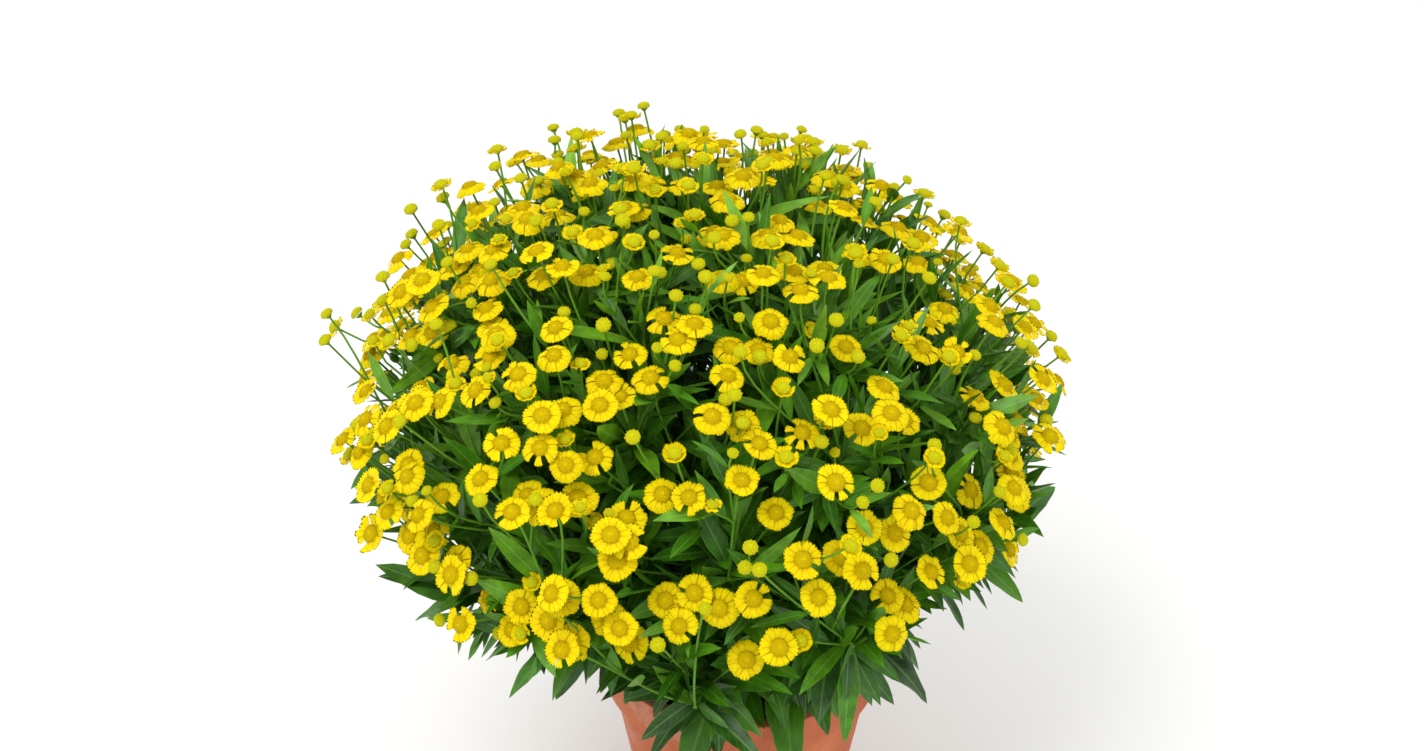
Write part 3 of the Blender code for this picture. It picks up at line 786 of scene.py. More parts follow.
# painted shade: the disc's tone runs darker towards its rim, where the dome slopes down into the rays
disc_gold = floret_finish("pollen_dusted_disc_florets", (
    (0.0, "#E0C800"), (0.5, "#DCC200"), (1.0, "#C8AE00")))
young_green = floret_finish("closed_green_florets", (
    (0.0, "#B8BE10"), (0.6, "#D8D616"), (1.0, "#EADE16")))

# %% [markdown]
# The disc in the middle of a bloom is a low dome packed with those florets. A bump map would show them
# from above and go flat at the outline, so each is a small cone of its own. The dome comes first: it
# closes the gaps between them.

# %% Domes
DOME_ANGLES = (-0.35, 1.35)  # from below the widest place to near the top, in radians
# the dome's numbers along paint it darker than the floret tips, as painted shade between the florets
DOME_TONES = (0.4, 0.6)  # the finish's number along, at the foot and the top


def dome_shells(table, radius, low, high, rows, around, shade):
    """Domes: quarter ellipses turned round each head's facing, from its foot at low up to high."""
    facing = table["facing"]
    side, other = square_pair(facing)
    spokes = turned(side[:, None], other[:, None], even_turns(around))
    rise = np.linspace(*DOME_ANGLES, rows)
    out = np.cos(rise)[None, :, None, None] * radius[:, None, None, None] * spokes[:, None]
    height = low[:, None] + (high - low)[:, None] * np.sin(rise)[None]
    points = table["neck"][:, None, None] + out + facing[:, None, None] * height[:, :, None, None]
    tips = table["neck"] + facing * high[:, None]
    return shells(points, np.linspace(*DOME_TONES, rows)[None, :, None], 0.0, shade, tips)


print("a dome runs up from", *np.degrees(DOME_ANGLES).round(), "degrees")

# %% [markdown]
# The florets stand on the dome in the spiral that a sunflower's seeds follow. They have three sides and
# a tip, which is the least that a closed cone can have, because there are thirty thousand of them.

# %% Florets
PHASES = (0, 6.28)  # where a spiral or a wave may start, in radians
DOME_ROUND = 0.96  # how round the field of florets is: 0 is flat and 1 half a ball
FLORET_FIELD = 0.98  # share of the dome's radius that they cover
FLORET_UPRIGHT = 1.2  # pull of the head's facing on a floret
FLORET_TILT = 0.12  # spread of its way
FLORET_SPREAD = (0.8, 1.15)  # times the size
FLORET_SUNK = 0.4  # depth of its foot in the dome, in sizes
FLORET_TONES = (0.6, 0.4)  # change of tone from the middle to the edge, and by chance


def floret_shells(table, radius, low, high, count, size, tall, draw):
    """Three-sided cones on each dome. Each stands a golden turn on from the last, at a distance from the
    middle that grows with the root of its number, which spreads them evenly."""
    number = len(table["tip"])
    facing = table["facing"]
    side, other = square_pair(facing)
    share = np.sqrt((np.arange(count) + 0.5) / count)
    turn = np.arange(count) * GOLDEN_TURN + draw.uniform(*PHASES, (number, 1))
    out = turned(side[:, None], other[:, None], turn)
    slope = np.sqrt(1 - DOME_ROUND * share ** 2)
    height = low[:, None] + (high - low)[:, None] * slope
    root = (table["neck"][:, None] + out * (radius[:, None] * share * FLORET_FIELD)[..., None]
            + facing[:, None] * height[..., None])
    way = unit(out * share[None, :, None] + facing[:, None] * slope[None, :, None] * FLORET_UPRIGHT)
    root = root.reshape(-1, 3)
    way = unit(way.reshape(-1, 3) + draw.normal(0, FLORET_TILT, (number * count, 3)))
    wide = (size * draw.uniform(*FLORET_SPREAD, (number, count))).reshape(-1, 1)
    side, other = square_pair(way)
    spokes = turned(side[:, None], other[:, None], even_turns(3))
    points = (root - way * wide * FLORET_SUNK)[:, None] + spokes * wide[:, None]
    shade = share[None] * FLORET_TONES[0] + draw.uniform(0, FLORET_TONES[1], (number, count))
    return shells(points[:, None], 0.0, 0.0, np.clip(shade, 0, 1).reshape(-1, 1, 1), root + way * wide * tall)


print("the hundredth floret of a hundred turns by", round(math.degrees(99 * GOLDEN_TURN) % 360), "degrees")

# %% [markdown]
# An open disc is flatter and has more florets than a young head, which is nearly a ball. Both reach as
# far up as the tips of the solids, less the height of a floret.

# %% Discs and young heads
DISC_FLORETS = 60
DISC_FLORET_SIZE = 0.00085  # radius at the foot
DISC_FLORET_TALL = 1.1  # height, in sizes
DISC_LOW = 0.0030  # height of the dome's widest place over the neck
DISC_UNDER_TIP = 0.0006  # room for the florets' tips
YOUNG_FLORETS = 36
YOUNG_FLORET_SIZE = 0.00100
YOUNG_FLORET_TALL = 0.7
YOUNG_WIDER = 1.06  # a round head is a little wider than its four coarse corners
YOUNG_HEIGHT = 0.66  # from its widest place to its top, in radii
YOUNG_UNDER_TIP = 0.0010
FLORET_SHARP = math.radians(75)  # so that the rims of most domes stay smooth
draw = np.random.default_rng(12)
disc_radius = blooms["radius"] * DISC_SHARE
disc_high = np.linalg.norm(blooms["tip"] - blooms["neck"], axis=1) - DISC_UNDER_TIP
disc_low = np.full(len(disc_high), DISC_LOW)
make_piece("disc_florets", [
    dome_shells(blooms, disc_radius, disc_low, disc_high, rows=4, around=10, shade=0.35),
    floret_shells(blooms, disc_radius, disc_low, disc_high, DISC_FLORETS, DISC_FLORET_SIZE,
                  DISC_FLORET_TALL, draw),
], disc_gold, stem_nodes, FLORET_SHARP)

young_wide = young["radius"] * YOUNG_WIDER
young_high = np.linalg.norm(young["tip"] - young["neck"], axis=1) - YOUNG_UNDER_TIP
young_low = young_high - young_wide * YOUNG_HEIGHT
make_piece("young_heads", [
    dome_shells(young, young_wide, young_low, young_high, rows=5, around=10, shade=0.4),
    floret_shells(young, young_wide, young_low, young_high, YOUNG_FLORETS, YOUNG_FLORET_SIZE,
                  YOUNG_FLORET_TALL, draw),
], young_green, stem_nodes, FLORET_SHARP)

# %% [markdown]
# A sneezeweed leaf is a deep satin green. Its green is painted lighter near the top and skin of the
# mound and darker inside, as painted light and shade. Its midrib is pale, with side veins that leave it
# at a slant, and its edge is painted pale, a painted highlight where it catches the light. An image could
# hold all that, but veins follow the leaf, so the finish reads how far along and across a point lies.

# %% Leaf finish
SIDE_VEINS = 9  # pairs along a leaf


def leaf_finish():
    """Leaves, grown: satin cuticle over deep green, a pale midrib and slanting side veins. The green is
    painted light and shade by the leaf's place in the mound, and the pale edge is a painted highlight.
    """
    finish, shader = new_finish("living_satin_leaf", Roughness=0.42, IOR=1.42, Specular_IOR_Level=0.5)
    along, across, shade = (add(finish, "ShaderNodeAttribute", attribute_name=name).outputs["Fac"]
                            for name in ("along", "across", "shade"))
    place = add(finish, "ShaderNodeTexCoord").outputs["Object"]
    # painted light and shade: the shade number, lighter near the mound's top and skin, picks the green
    green = add(finish, "ShaderNodeValToRGB", {"Fac": shade}, stops=(
        (0.0, "#163606"), (0.3, "#2A6202"), (0.65, "#509204"), (1.0, "#80B81E")))
    mottle = add(finish, "ShaderNodeTexNoise", {"Vector": place, "Scale": 90.0, "Detail": 3.0})
    blotch = add(finish, "ShaderNodeValToRGB", {"Fac": mottle.outputs["Fac"]},
                 stops=((0.3, "#C4C4C4"), (0.7, "#FFFFFF")))
    spotted = add(finish, "ShaderNodeMixRGB", {"Fac": 1.0, "Color1": green.outputs["Color"],
                                               "Color2": blotch.outputs["Color"]}, blend_type="MULTIPLY")
    off_rib = add(finish, "ShaderNodeMath", {0: across}, operation="ABSOLUTE").outputs[0]
    rib = add(finish, "ShaderNodeMapRange", {"Value": off_rib, "From Min": 0.04, "From Max": 0.14,
                                             "To Min": 0.28, "To Max": 0.0}).outputs[0]
    slant = add(finish, "ShaderNodeMath", {0: off_rib, 1: -0.16, 2: along}, operation="MULTIPLY_ADD")
    beat = add(finish, "ShaderNodeMath", {0: slant.outputs[0], 1: SIDE_VEINS * FULL_TURN},
               operation="MULTIPLY")
    wave = add(finish, "ShaderNodeMath", {0: beat.outputs[0]}, operation="COSINE").outputs[0]
    veins = add(finish, "ShaderNodeMapRange", {"Value": wave, "From Min": 0.86, "From Max": 1.0,
                                               "To Min": 0.0, "To Max": 0.10}).outputs[0]
    # painted highlight: the blade's edge is made paler, where it would catch the light
    painted_edge_shading = add(finish, "ShaderNodeMapRange", {"Value": off_rib, "From Min": 0.90, "From Max": 1.0,
                                                "To Min": 0.0, "To Max": 0.22}).outputs[0]
    lines = add(finish, "ShaderNodeMath", {0: veins, 1: painted_edge_shading}, operation="MAXIMUM").outputs[0]
    pale = add(finish, "ShaderNodeMath", {0: rib, 1: lines}, operation="MAXIMUM").outputs[0]
    veined = add(finish, "ShaderNodeMixRGB", {"Fac": pale, "Color1": spotted.outputs[0],
                                              "Color2": linear("#8DB562")})
    height = add(finish, "ShaderNodeMath", {0: pale, 1: -2.0}, operation="MULTIPLY").outputs[0]
    bump = add(finish, "ShaderNodeBump", {"Height": height, "Strength": 0.4, "Distance": 0.0005})
    return plugged(finish, shader, veined, bump)


leaf_green = leaf_finish()

# %% [markdown]
# Stems and stalks are paler than the leaves and finely ribbed, and turn reddish at the foot, where they
# have begun to harden. The ribs run round the stem, so they come from the number across.

# %% Stem finish
STEM_RIBS = 4  # round a stem


def stem_finish():
    """Stems and stalks, grown: pale green and finely ribbed, with a reddish foot."""
    finish, shader = new_finish("living_ribbed_stem", Roughness=0.5, IOR=1.42, Specular_IOR_Level=0.25)
    along, across = (add(finish, "ShaderNodeAttribute", attribute_name=name).outputs["Fac"]
                     for name in ("along", "across"))
    green = add(finish, "ShaderNodeValToRGB", {"Fac": along}, stops=(
        (0.0, "#5A4A1E"), (0.12, "#47701A"), (0.6, "#558A1E"), (1.0, "#76A42A")))
    ribs = add(finish, "ShaderNodeMath", {0: across, 1: STEM_RIBS * FULL_TURN}, operation="MULTIPLY")
    wave = add(finish, "ShaderNodeMath", {0: ribs.outputs[0]}, operation="COSINE").outputs[0]
    bump = add(finish, "ShaderNodeBump", {"Height": wave, "Strength": 0.4, "Distance": 0.0003})
    return plugged(finish, shader, green, bump)


stem_green = stem_finish()

# %% [markdown]
# Stems are round tubes that thin upwards, and stalks are thinner ones. Under each bloom the stalk
# widens into a green cup, which is what holds the rays on the real plant.

# %% Stems and stalks
STEM_SIDES = 10
STALK_SIDES = 5
STALK_FOOT_RADIUS = 0.0012
STALK_TOP_RADIUS = 0.0008
STEM_TOP_TONE = 0.6  # the finish's number along, which starts from zero at a stem's foot
STALK_TONES = (0.35, 0.6)  # and the same for a stalk's foot, with the change to its head
CUP_HEIGHTS = np.array([0.0012, 0.0030])  # its foot and its rim, over the neck
CUP_FOOT = 0.6  # width of the cup's foot to its rim
BLOOM_CUP = 0.34  # the cup's radius to the head's
YOUNG_CUP = 0.75


def stalk_shells(table, paths, cup):
    """Stalks that thin evenly, with a cup of the given share of its radius under each head."""
    ends = paths[:, -1:] + table["facing"][:, None] * CUP_HEIGHTS[None, :, None]
    paths = np.concatenate([paths, ends], axis=1)
    share = np.linspace(0, 1, paths.shape[1])
    radii = STALK_FOOT_RADIUS + (STALK_TOP_RADIUS - STALK_FOOT_RADIUS) * share
    radii = np.broadcast_to(radii, paths.shape[:2]).copy()
    radii[:, -2] = table["radius"] * cup * CUP_FOOT
    radii[:, -1] = table["radius"] * cup
    rings = round_rings(paths, radii, STALK_SIDES)
    tone = STALK_TONES[0] + STALK_TONES[1] * share[None, :, None]
    return shells(rings, tone, np.arange(STALK_SIDES) / STALK_SIDES, 0.5)


make_piece("stems_and_stalks", [
    shells(round_rings(stem_paths, np.broadcast_to(stem_radii, stem_paths.shape[:2]), STEM_SIDES),
           STEM_TOP_TONE * stem_share[None, :, None], np.arange(STEM_SIDES) / STEM_SIDES, 0.5),
    stalk_shells(blooms, bloom_stalks, BLOOM_CUP),
    stalk_shells(young, young_stalks, YOUNG_CUP),
], stem_green, stem_nodes)

# %% [markdown]
# Sneezeweed leaves are lance-shaped, a little folded on the midrib, toothed and waved at the edges. A
# flat card would vanish from the side, so each blade is a closed shell, with its edges and rib above and
# a keel below, carried along a parabola. Large leaves get two more points across than small ones.

# %% Leaf blades
LEAF_ACROSS = {"broad": np.array([1, 0, -1, -0.5, 0, 0.5]), "small": np.array([1, 0, -1, 0])}
KEEL_PLACE = 1  # the second point across is the keel
KEEL_DEPTH = 0.0007
LEAF_FOOT = 0.10  # width at the foot, to the widest place
LEAF_BELLY = 0.85  # below one the widest place moves towards the foot
LEAF_POINT = 0.95  # below one the blade is fuller
LEAF_FOLD = 0.12  # rise of the edges, to the width
TOOTH_DEPTH = 0.035  # to the half width
EDGE_WAVE = 0.07  # height of the edges' wave, to the width
EDGES_APART = 1.3  # half the step between the two edges' waves, in radians


def leaf_shells(table, rows, teeth, draw, section="broad"):
    """Blades along parabolas. The half width is a sine of a power of the length, which rises fast and
    falls slowly, with a small sine for the teeth. The lift grows with the distance from the rib."""
    number = len(table["tip"])
    path = parabola(table["foot"], table["bend"], table["tip"], rows)
    ways = slopes(path)
    side = unit(np.cross(table["tip"] - table["foot"], table["lift"]))
    side = square_to(side[:, None], ways)[:, :-1]
    face = np.cross(side, ways[:, :-1])
    v = np.linspace(0, 1, rows)[None, :-1, None]
    x = LEAF_ACROSS[section][None, None]
    keel = np.arange(x.size) == KEEL_PLACE
    width = table["width"][:, None, None]
    outline = LEAF_FOOT + (1 - LEAF_FOOT) * np.sin(math.pi * v ** LEAF_BELLY) ** LEAF_POINT
    phase = draw.uniform(*PHASES, (number, 1, 1))
    edge = np.abs(x) == 1
    half = width / 2 * outline * (1 + edge * TOOTH_DEPTH * np.sin(FULL_TURN * teeth * v + phase))
    wave = edge * EDGE_WAVE * np.sin(FULL_TURN * (teeth / 2) * v + phase + x * EDGES_APART)
    lift = width * outline * (LEAF_FOLD * np.abs(x) + wave) - KEEL_DEPTH * keel
    points = (path[:, :-1, None] + side[:, :, None] * (x * half)[..., None]
              + face[:, :, None] * lift[..., None])
    return shells(points, v, x, table["shade"][:, None, None], path[:, -1])


print("points round a blade", {section: len(across) for section, across in LEAF_ACROSS.items()})

# %% [markdown]
# The solids have the large leaves. A real plant has many more, all the way up its stems and out on the
# stalks. Copies of one twig would show as copies. Here every leaf leaves its stem a golden turn on from
# the last one, as real ones nearly do, and differs a little in length, width and lean, and at random in
# its painted light and shade. Towards the top leaves are narrower. Broad ones there would catch the light
# and stand out among the blooms.

# %% Leaves beside a path
LEAF_SKINWARD = 0.35  # pull of the mound's skin on a leaf's start
LEAF_TURN_SPREAD = 0.5  # round the stem, either way, in radians
LEAF_WAY_SPREAD = 0.12  # spread of its start
LEAF_FACE_UP = 0.25  # pull of the sky on its upper side
LEAF_FACE_SPREAD = 0.15  # and the spread of that side
# painted light and shade: how much a leaf's depth and height in the mound lighten its green
PAINTED_SHADE_BY_DEPTH = 0.30
PAINTED_LIGHT_BY_HEIGHT = 0.48
SHADE_SPREAD = (-0.25, 0.28)
TOP_LEAVES_NARROWER = 0.45  # share of its width that the highest leaf loses


def painted_light_shade(points, draw):
    """A leaf's painted light and shade: light near the mound's skin and its top, dark inside, and a little at
    random.
    """
    shade = PAINTED_SHADE_BY_DEPTH * depth_share(points) + PAINTED_LIGHT_BY_HEIGHT * height_share(points)
    return np.clip(shade + draw.uniform(*SHADE_SPREAD, len(points)), 0, 1)


def slimming(points):
    """The share of its width that a leaf keeps, less the higher its tip stands in the mound."""
    return 1 - TOP_LEAVES_NARROWER * height_share(points)


def beside_paths(paths, owners, shares, lengths, widths, lean, droop, draw):
    """Leaves beside paths: each leaves at a share of its path, to the side that the golden turn gives,
    leans along the path and droops towards its tip."""
    foot, way = read_out(paths[owners], shares)
    turn = np.arange(len(owners)) * GOLDEN_TURN
    turn = turn + draw.uniform(-LEAF_TURN_SPREAD, LEAF_TURN_SPREAD, len(owners))
    out = turned(*square_pair(way), turn)
    skinward = unit((foot - mound_middle) / mound_radii ** 2)
    start = unit(out + lean * way + LEAF_SKINWARD * skinward + draw.normal(0, LEAF_WAY_SPREAD, foot.shape))
    bend = foot + start * lengths[:, None] / 2
    tip = bend + unit(start - droop[:, None] * UP) * lengths[:, None] / 2
    lift = unit(way + LEAF_FACE_UP * UP + draw.normal(0, LEAF_FACE_SPREAD, foot.shape))
    # the shade is painted light and shade, by the place of the leaf's tip
    return {"foot": foot, "bend": bend, "tip": tip, "lift": lift, "width": widths * slimming(tip),
            "shade": painted_light_shade(tip, draw)}


print("a leaf at the very top keeps", slimming(mound_high).round(2), "of its width")

# %% [markdown]
# A rule knows nothing of neighbours, so some leaves would stand in a bloom, cover it or cut the pot, and
# many would lie unseen in the middle of the mound. Bending each one clear is slow work. The plant has
# leaves to spare, so those are left out.

# %% Leaves that stand clear
SEEN_DEPTH = 0.30  # a tip deeper inside is hidden
LEAF_SKIN = 0.985  # leaves stay inside this share of the mound's radii
POT_CLEAR = 0.004  # distance kept from the pot
LOWEST_TIP = 0.16  # least height of a tip
ABOVE_BLOOM = (-0.008, 0.013)  # heights over a bloom's tip that are kept free
BESIDE_BLOOM = 0.0145  # as far as this from its middle line
LEAF_CHECKS = 7  # points along a leaf
FIRST_CHECK = 2  # of which those from here on are tested
pot_high = np.array(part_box("pot")[1])
print("pot rim radius mm", (pot_high[0] * 1000).round(1), "height mm", (pot_high[2] * 1000).round(1))


def clear_of_pot(table):
    """True for leaves outside the pot and inside the mound's skin, whose tips aren't hidden deep inside."""
    clear = (depth_share(table["tip"]) > SEEN_DEPTH) & (table["tip"][:, 2] > LOWEST_TIP)
    for key in ("bend", "tip"):
        across = np.linalg.norm(table[key][:, :2], axis=1)
        clear &= (table[key][:, 2] > pot_high[2] + POT_CLEAR) | (across > pot_high[0] + POT_CLEAR)
        clear &= depth_share(table[key]) < LEAF_SKIN
    return clear


def clear_of_blooms(table):
    """True for leaves that don't cover a bloom or stand in it, by points along their outer part."""
    clear = np.ones(len(table["tip"]), bool)
    path = parabola(table["foot"], table["bend"], table["tip"], LEAF_CHECKS)[:, FIRST_CHECK:]
    for row in np.moveaxis(path, 1, 0):
        apart = row[:, None] - blooms["tip"][None]
        above = (apart * blooms["facing"][None]).sum(axis=-1)
        beside = np.sqrt(np.maximum((apart ** 2).sum(axis=-1) - above ** 2, 0))
        near = (above > ABOVE_BLOOM[0]) & (above < ABOVE_BLOOM[1]) & (beside < BESIDE_BLOOM)
        clear &= ~near.any(axis=1)
    return clear


def kept(table, also):
    """The rows of a table of leaves that stand clear, where the further test is true as well."""
    clear = clear_of_pot(table) & clear_of_blooms(table) & also
    return {key: values[clear] for key, values in table.items()}


# %% [markdown]
# Leaves on the stems are the long ones. They shorten towards the top, and the skirt at the bottom is
# thinner, as the photo shows it.

# %% Leaves on the stems
STEM_LEAVES = 58  # tried on each stem
STEM_LEAF_SHARES = (0.10, 0.99)  # of the stem's length
STEM_LEAF_CROWDING = 0.8  # below one they crowd upwards
STEM_LEAF_LENGTHS = (0.055, 0.088)
STEM_LEAF_SLENDER = (0.24, 0.34)  # width to length
STEM_LEAF_LEAN = 0.5  # pull of the stem's way on a leaf's start
STEM_LEAF_DROOP = (0.1, 0.7)  # pull of the ground on its outer half
TOP_LEAVES_SHORTER = 0.4  # share of its length that a leaf at a stem's top loses
SKIRT_TOP = 0.30  # leaves whose tips are lower are the skirt
SKIRT_KEPT = 0.45  # share of them that is kept
draw = np.random.default_rng(13)
# painted light and shade for the leaves from the solids
leaves["shade"] = painted_light_shade(leaves["tip"], draw)
leaves["width"] = leaves["width"] * slimming(leaves["tip"])
owners = np.repeat(np.arange(len(stem_paths)), STEM_LEAVES)
count = len(owners)
shares = draw.uniform(*STEM_LEAF_SHARES, count) ** STEM_LEAF_CROWDING
lengths = draw.uniform(*STEM_LEAF_LENGTHS, count) * (1 - TOP_LEAVES_SHORTER * shares ** 6)
widths = lengths * draw.uniform(*STEM_LEAF_SLENDER, count)
droop = draw.uniform(*STEM_LEAF_DROOP, count)
on_stems = beside_paths(stem_paths, owners, shares, lengths, widths, STEM_LEAF_LEAN, droop, draw)
on_stems = kept(on_stems, (on_stems["tip"][:, 2] > SKIRT_TOP) | (draw.random(count) < SKIRT_KEPT))
print("leaves replaced", len(leaves["tip"]), "added on stems", len(on_stems["tip"]))

# %% [markdown]
# Leaves on the stalks are small, and smaller the nearer they stand to the head. Near the top of the
# mound most of them are left out, so that the blooms and young heads stand out from the green.

# %% Leaves on the stalks
STALK_LEAF_SHARES = np.array([0.08, 0.22, 0.36, 0.50, 0.64, 0.80])
STALK_LEAF_SPREAD = 0.10  # of the stalk's length, either way
STALK_LEAF_LENGTHS = (0.046, 0.072)
STALK_LEAF_SHORTENS = (1.2, -0.7)  # times the length at the stalk's foot, and the change to its head
STALK_LEAF_SLENDER = (0.26, 0.36)
STALK_LEAF_LEAN = 0.9
STALK_LEAF_DROOP = (-0.2, 0.45)
OPEN_ABOVE = 0.60  # share of the stalk from which leaves thin out
OPEN_TOP = 0.66  # where they stand higher in the mound than this share
OPEN_KEPT = 0.3  # share of them that is kept
stalks = np.concatenate([bloom_stalks, young_stalks])
owners = np.repeat(np.arange(len(stalks)), len(STALK_LEAF_SHARES))
count = len(owners)
shares = np.tile(STALK_LEAF_SHARES, len(stalks))
shares = shares + draw.uniform(-STALK_LEAF_SPREAD, STALK_LEAF_SPREAD, count)
lengths = draw.uniform(*STALK_LEAF_LENGTHS, count)
lengths = lengths * (STALK_LEAF_SHORTENS[0] + STALK_LEAF_SHORTENS[1] * shares)
widths = lengths * draw.uniform(*STALK_LEAF_SLENDER, count)
droop = draw.uniform(*STALK_LEAF_DROOP, count)
on_stalks = beside_paths(stalks, owners, shares, lengths, widths, STALK_LEAF_LEAN, droop, draw)
low_down = (shares < OPEN_ABOVE) | (height_share(on_stalks["tip"]) < OPEN_TOP)
on_stalks = kept(on_stalks, low_down | (draw.random(count) < OPEN_KEPT))
print("leaves added on stalks", len(on_stalks["tip"]))

make_piece("stem_leaves", [
    leaf_shells(leaves, rows=15, teeth=4, draw=draw),
    leaf_shells(on_stems, rows=8, teeth=3, draw=draw),
], leaf_green, stem_nodes)
make_piece("stalk_leaves", [
    leaf_shells(on_stalks, rows=7, teeth=2, draw=draw, section="small"),
], leaf_green, stem_nodes)

# %% [markdown]
# The photo ends above the pot, so the pot is a plain one of terracotta, pressed and fired without a
# glaze. That leaves it matte, uneven in colour, gritty, and dusted white with lime where water dries.
# The grit is half a millimetre, and is drawn at about three times that, or it wouldn't show.

# %% Terracotta finish
GRIT_SCALE = 700.0  # cells a metre


def terracotta_finish():
    """Fired clay, unglazed: clouds of warm orange with darker grit and a bloom of lime."""
    finish, shader = new_finish("unglazed_terracotta", Roughness=0.88, IOR=1.5)
    place = add(finish, "ShaderNodeTexCoord").outputs["Object"]
    cloud = add(finish, "ShaderNodeTexNoise", {"Vector": place, "Scale": 14.0, "Detail": 5.0})
    clay = add(finish, "ShaderNodeValToRGB", {"Fac": cloud.outputs["Fac"]}, stops=(
        (0.3, "#A6512D"), (0.55, "#BC6740"), (0.75, "#C87B52")))
    grit = add(finish, "ShaderNodeTexNoise", {"Vector": place, "Scale": GRIT_SCALE, "Detail": 2.0})
    specks = add(finish, "ShaderNodeValToRGB", {"Fac": grit.outputs["Fac"]},
                 stops=((0.30, "#A8A8A8"), (0.46, "#FFFFFF")))
    gritty = add(finish, "ShaderNodeMixRGB", {"Fac": 0.4, "Color1": clay.outputs["Color"],
                                              "Color2": specks.outputs["Color"]}, blend_type="MULTIPLY")
    drift = add(finish, "ShaderNodeTexNoise", {"Vector": place, "Scale": 9.0, "Detail": 8.0,
                                               "Roughness": 0.7})
    lime = add(finish, "ShaderNodeMapRange", {"Value": drift.outputs["Fac"], "From Min": 0.54,
                                              "From Max": 0.78, "To Min": 0.0, "To Max": 0.5}).outputs[0]
    dusted = add(finish, "ShaderNodeMixRGB", {"Fac": lime, "Color1": gritty.outputs[0],
                                              "Color2": linear("#DCC4B0")})
    bump = add(finish, "ShaderNodeBump", {"Height": grit.outputs["Fac"], "Strength": 0.35,
                                          "Distance": 0.0006})
    return plugged(finish, shader, dusted, bump)


terracotta = terracotta_finish()

# %% [markdown]
# A pot is turned: a profile carried round its axis. Blender's Screw modifier does that too, but an array
# of radii also takes the faint lines that turning leaves. A Bevel would round its rims, and here the
# profile's own corners are rounded instead, which costs fewer faces.

# %% Profiles and turned meshes
CORNER_REACH = 0.45  # share of a side that a rounded corner may take


def rounded(profile, radius, steps=5):
    """A profile with each inner corner turned into a short parabola that starts a radius away from it."""
    profile = np.array(profile, float)
    points = [profile[0]]
    for before, corner, after in zip(profile[:-2], profile[1:-1], profile[2:]):
        lengths = [np.linalg.norm(end - corner) for end in (before, after)]
        cut = min(radius, lengths[0] * CORNER_REACH, lengths[1] * CORNER_REACH)
        enter, leave = corner + unit(before - corner) * cut, corner + unit(after - corner) * cut
        points += list(parabola(enter[None], corner[None], leave[None], steps)[0])
    return np.array(points + [profile[-1]])


def finer(profile, step):
    """A profile with points added so that none are further apart than a step."""
    points = [profile[0]]
    for start, end in zip(profile[:-1], profile[1:]):
        count = max(1, int(math.ceil(np.linalg.norm(end - start) / step)))
        points += [start + (end - start) * (k + 1) / count for k in range(count)]
    return np.array(points)


def turned_mesh(name, profile, around, relief):
    """A closed turned mesh. The profile runs from the axis back to it, and relief adds metres to each row."""
    turn = even_turns(around)
    radius = profile[1:-1, :1] + relief[:, None]
    height = np.broadcast_to(profile[1:-1, 1:], (len(relief), around))
    points = np.stack([radius * np.cos(turn), radius * np.sin(turn), height], axis=-1).reshape(-1, 3)
    points = np.concatenate([points, [[0, 0, profile[0, 1]], [0, 0, profile[-1, 1]]]])
    number = np.arange(len(relief) * around).reshape(-1, around)
    beside = np.roll(number, -1, axis=1)
    walls = np.stack([number[:-1], number[1:], beside[1:], beside[:-1]], axis=-1).reshape(-1, 4)
    first = np.stack([np.full(around, number.size), number[0], beside[0]], axis=-1)
    last = np.stack([np.full(around, number.size + 1), beside[-1], number[-1]], axis=-1)
    mesh = bpy.data.meshes.new(name)
    mesh.from_pydata(points.tolist(), [], walls.tolist() + first.tolist() + last.tolist())
    return mesh


print("a corner that is rounded has", len(rounded([(0, 0), (1, 0), (1, 1)], 0.1)) - 2, "points")

# %% [markdown]
# The pot's profile starts in the middle of its floor, runs up the inside, over the rim, down the band
# and the wall, and back under the foot. Its main sizes are those of the solid.

# %% Pot profile
POT_WALL = 0.009
POT_FLOOR = 0.012
POT_BAND_HEIGHT = 0.038
POT_BAND_STEP = 0.005  # how far the rim band stands out
POT_EDGE = 0.0022  # rounding of the corners
POT_STEP = 0.006  # longest step of the profile
POT_SIDES = 112
POT_LINE_DEPTH = 0.00012  # of the faint lines that turning leaves
POT_LINE_STEPS = (0.5, 2.5)  # radians of their wave from row to row
PLAIN_FOOT = 0.004  # no lines lower than this
FOOT_RADIUS = 0.080
NECK_STEP = 1.8 * POT_BAND_STEP  # from the rim's radius to the wall's
rim, height = float(pot_high[0]), float(pot_high[2])
below_band = height - POT_BAND_HEIGHT
inside_foot, inside_rim = FOOT_RADIUS - POT_WALL, rim - POT_BAND_STEP / 2 - POT_WALL
pot_profile = finer(rounded([
    (0, POT_FLOOR), (inside_foot, POT_FLOOR), (inside_rim, height), (rim, height),
    (rim - POT_BAND_STEP / 2, below_band), (rim - NECK_STEP, below_band), (FOOT_RADIUS, 0), (0, 0),
], POT_EDGE), POT_STEP)
draw = np.random.default_rng(14)
lines = POT_LINE_DEPTH * np.sin(np.cumsum(draw.uniform(*POT_LINE_STEPS, len(pot_profile) - 2)))
outside = (np.gradient(pot_profile[:, 1])[1:-1] < 0) & (pot_profile[1:-1, 1] > PLAIN_FOOT)
pot_mesh = turned_mesh("terracotta_pot", pot_profile, POT_SIDES, np.where(outside, lines - POT_LINE_DEPTH, 0))
print("pot profile", len(pot_profile), "points")

# %% [markdown]
# Three drain holes go through the floor. They are cut by a Boolean modifier with three rods, and its
# result is taken as the mesh, so that nothing is left to work out later.

# %% Pot and its drain holes
DRAIN_RADIUS = 0.006
DRAIN_OFFSET = 0.042
DRAINS = 3
DRAIN_SIDES = 32
POT_SHARP = math.radians(35)


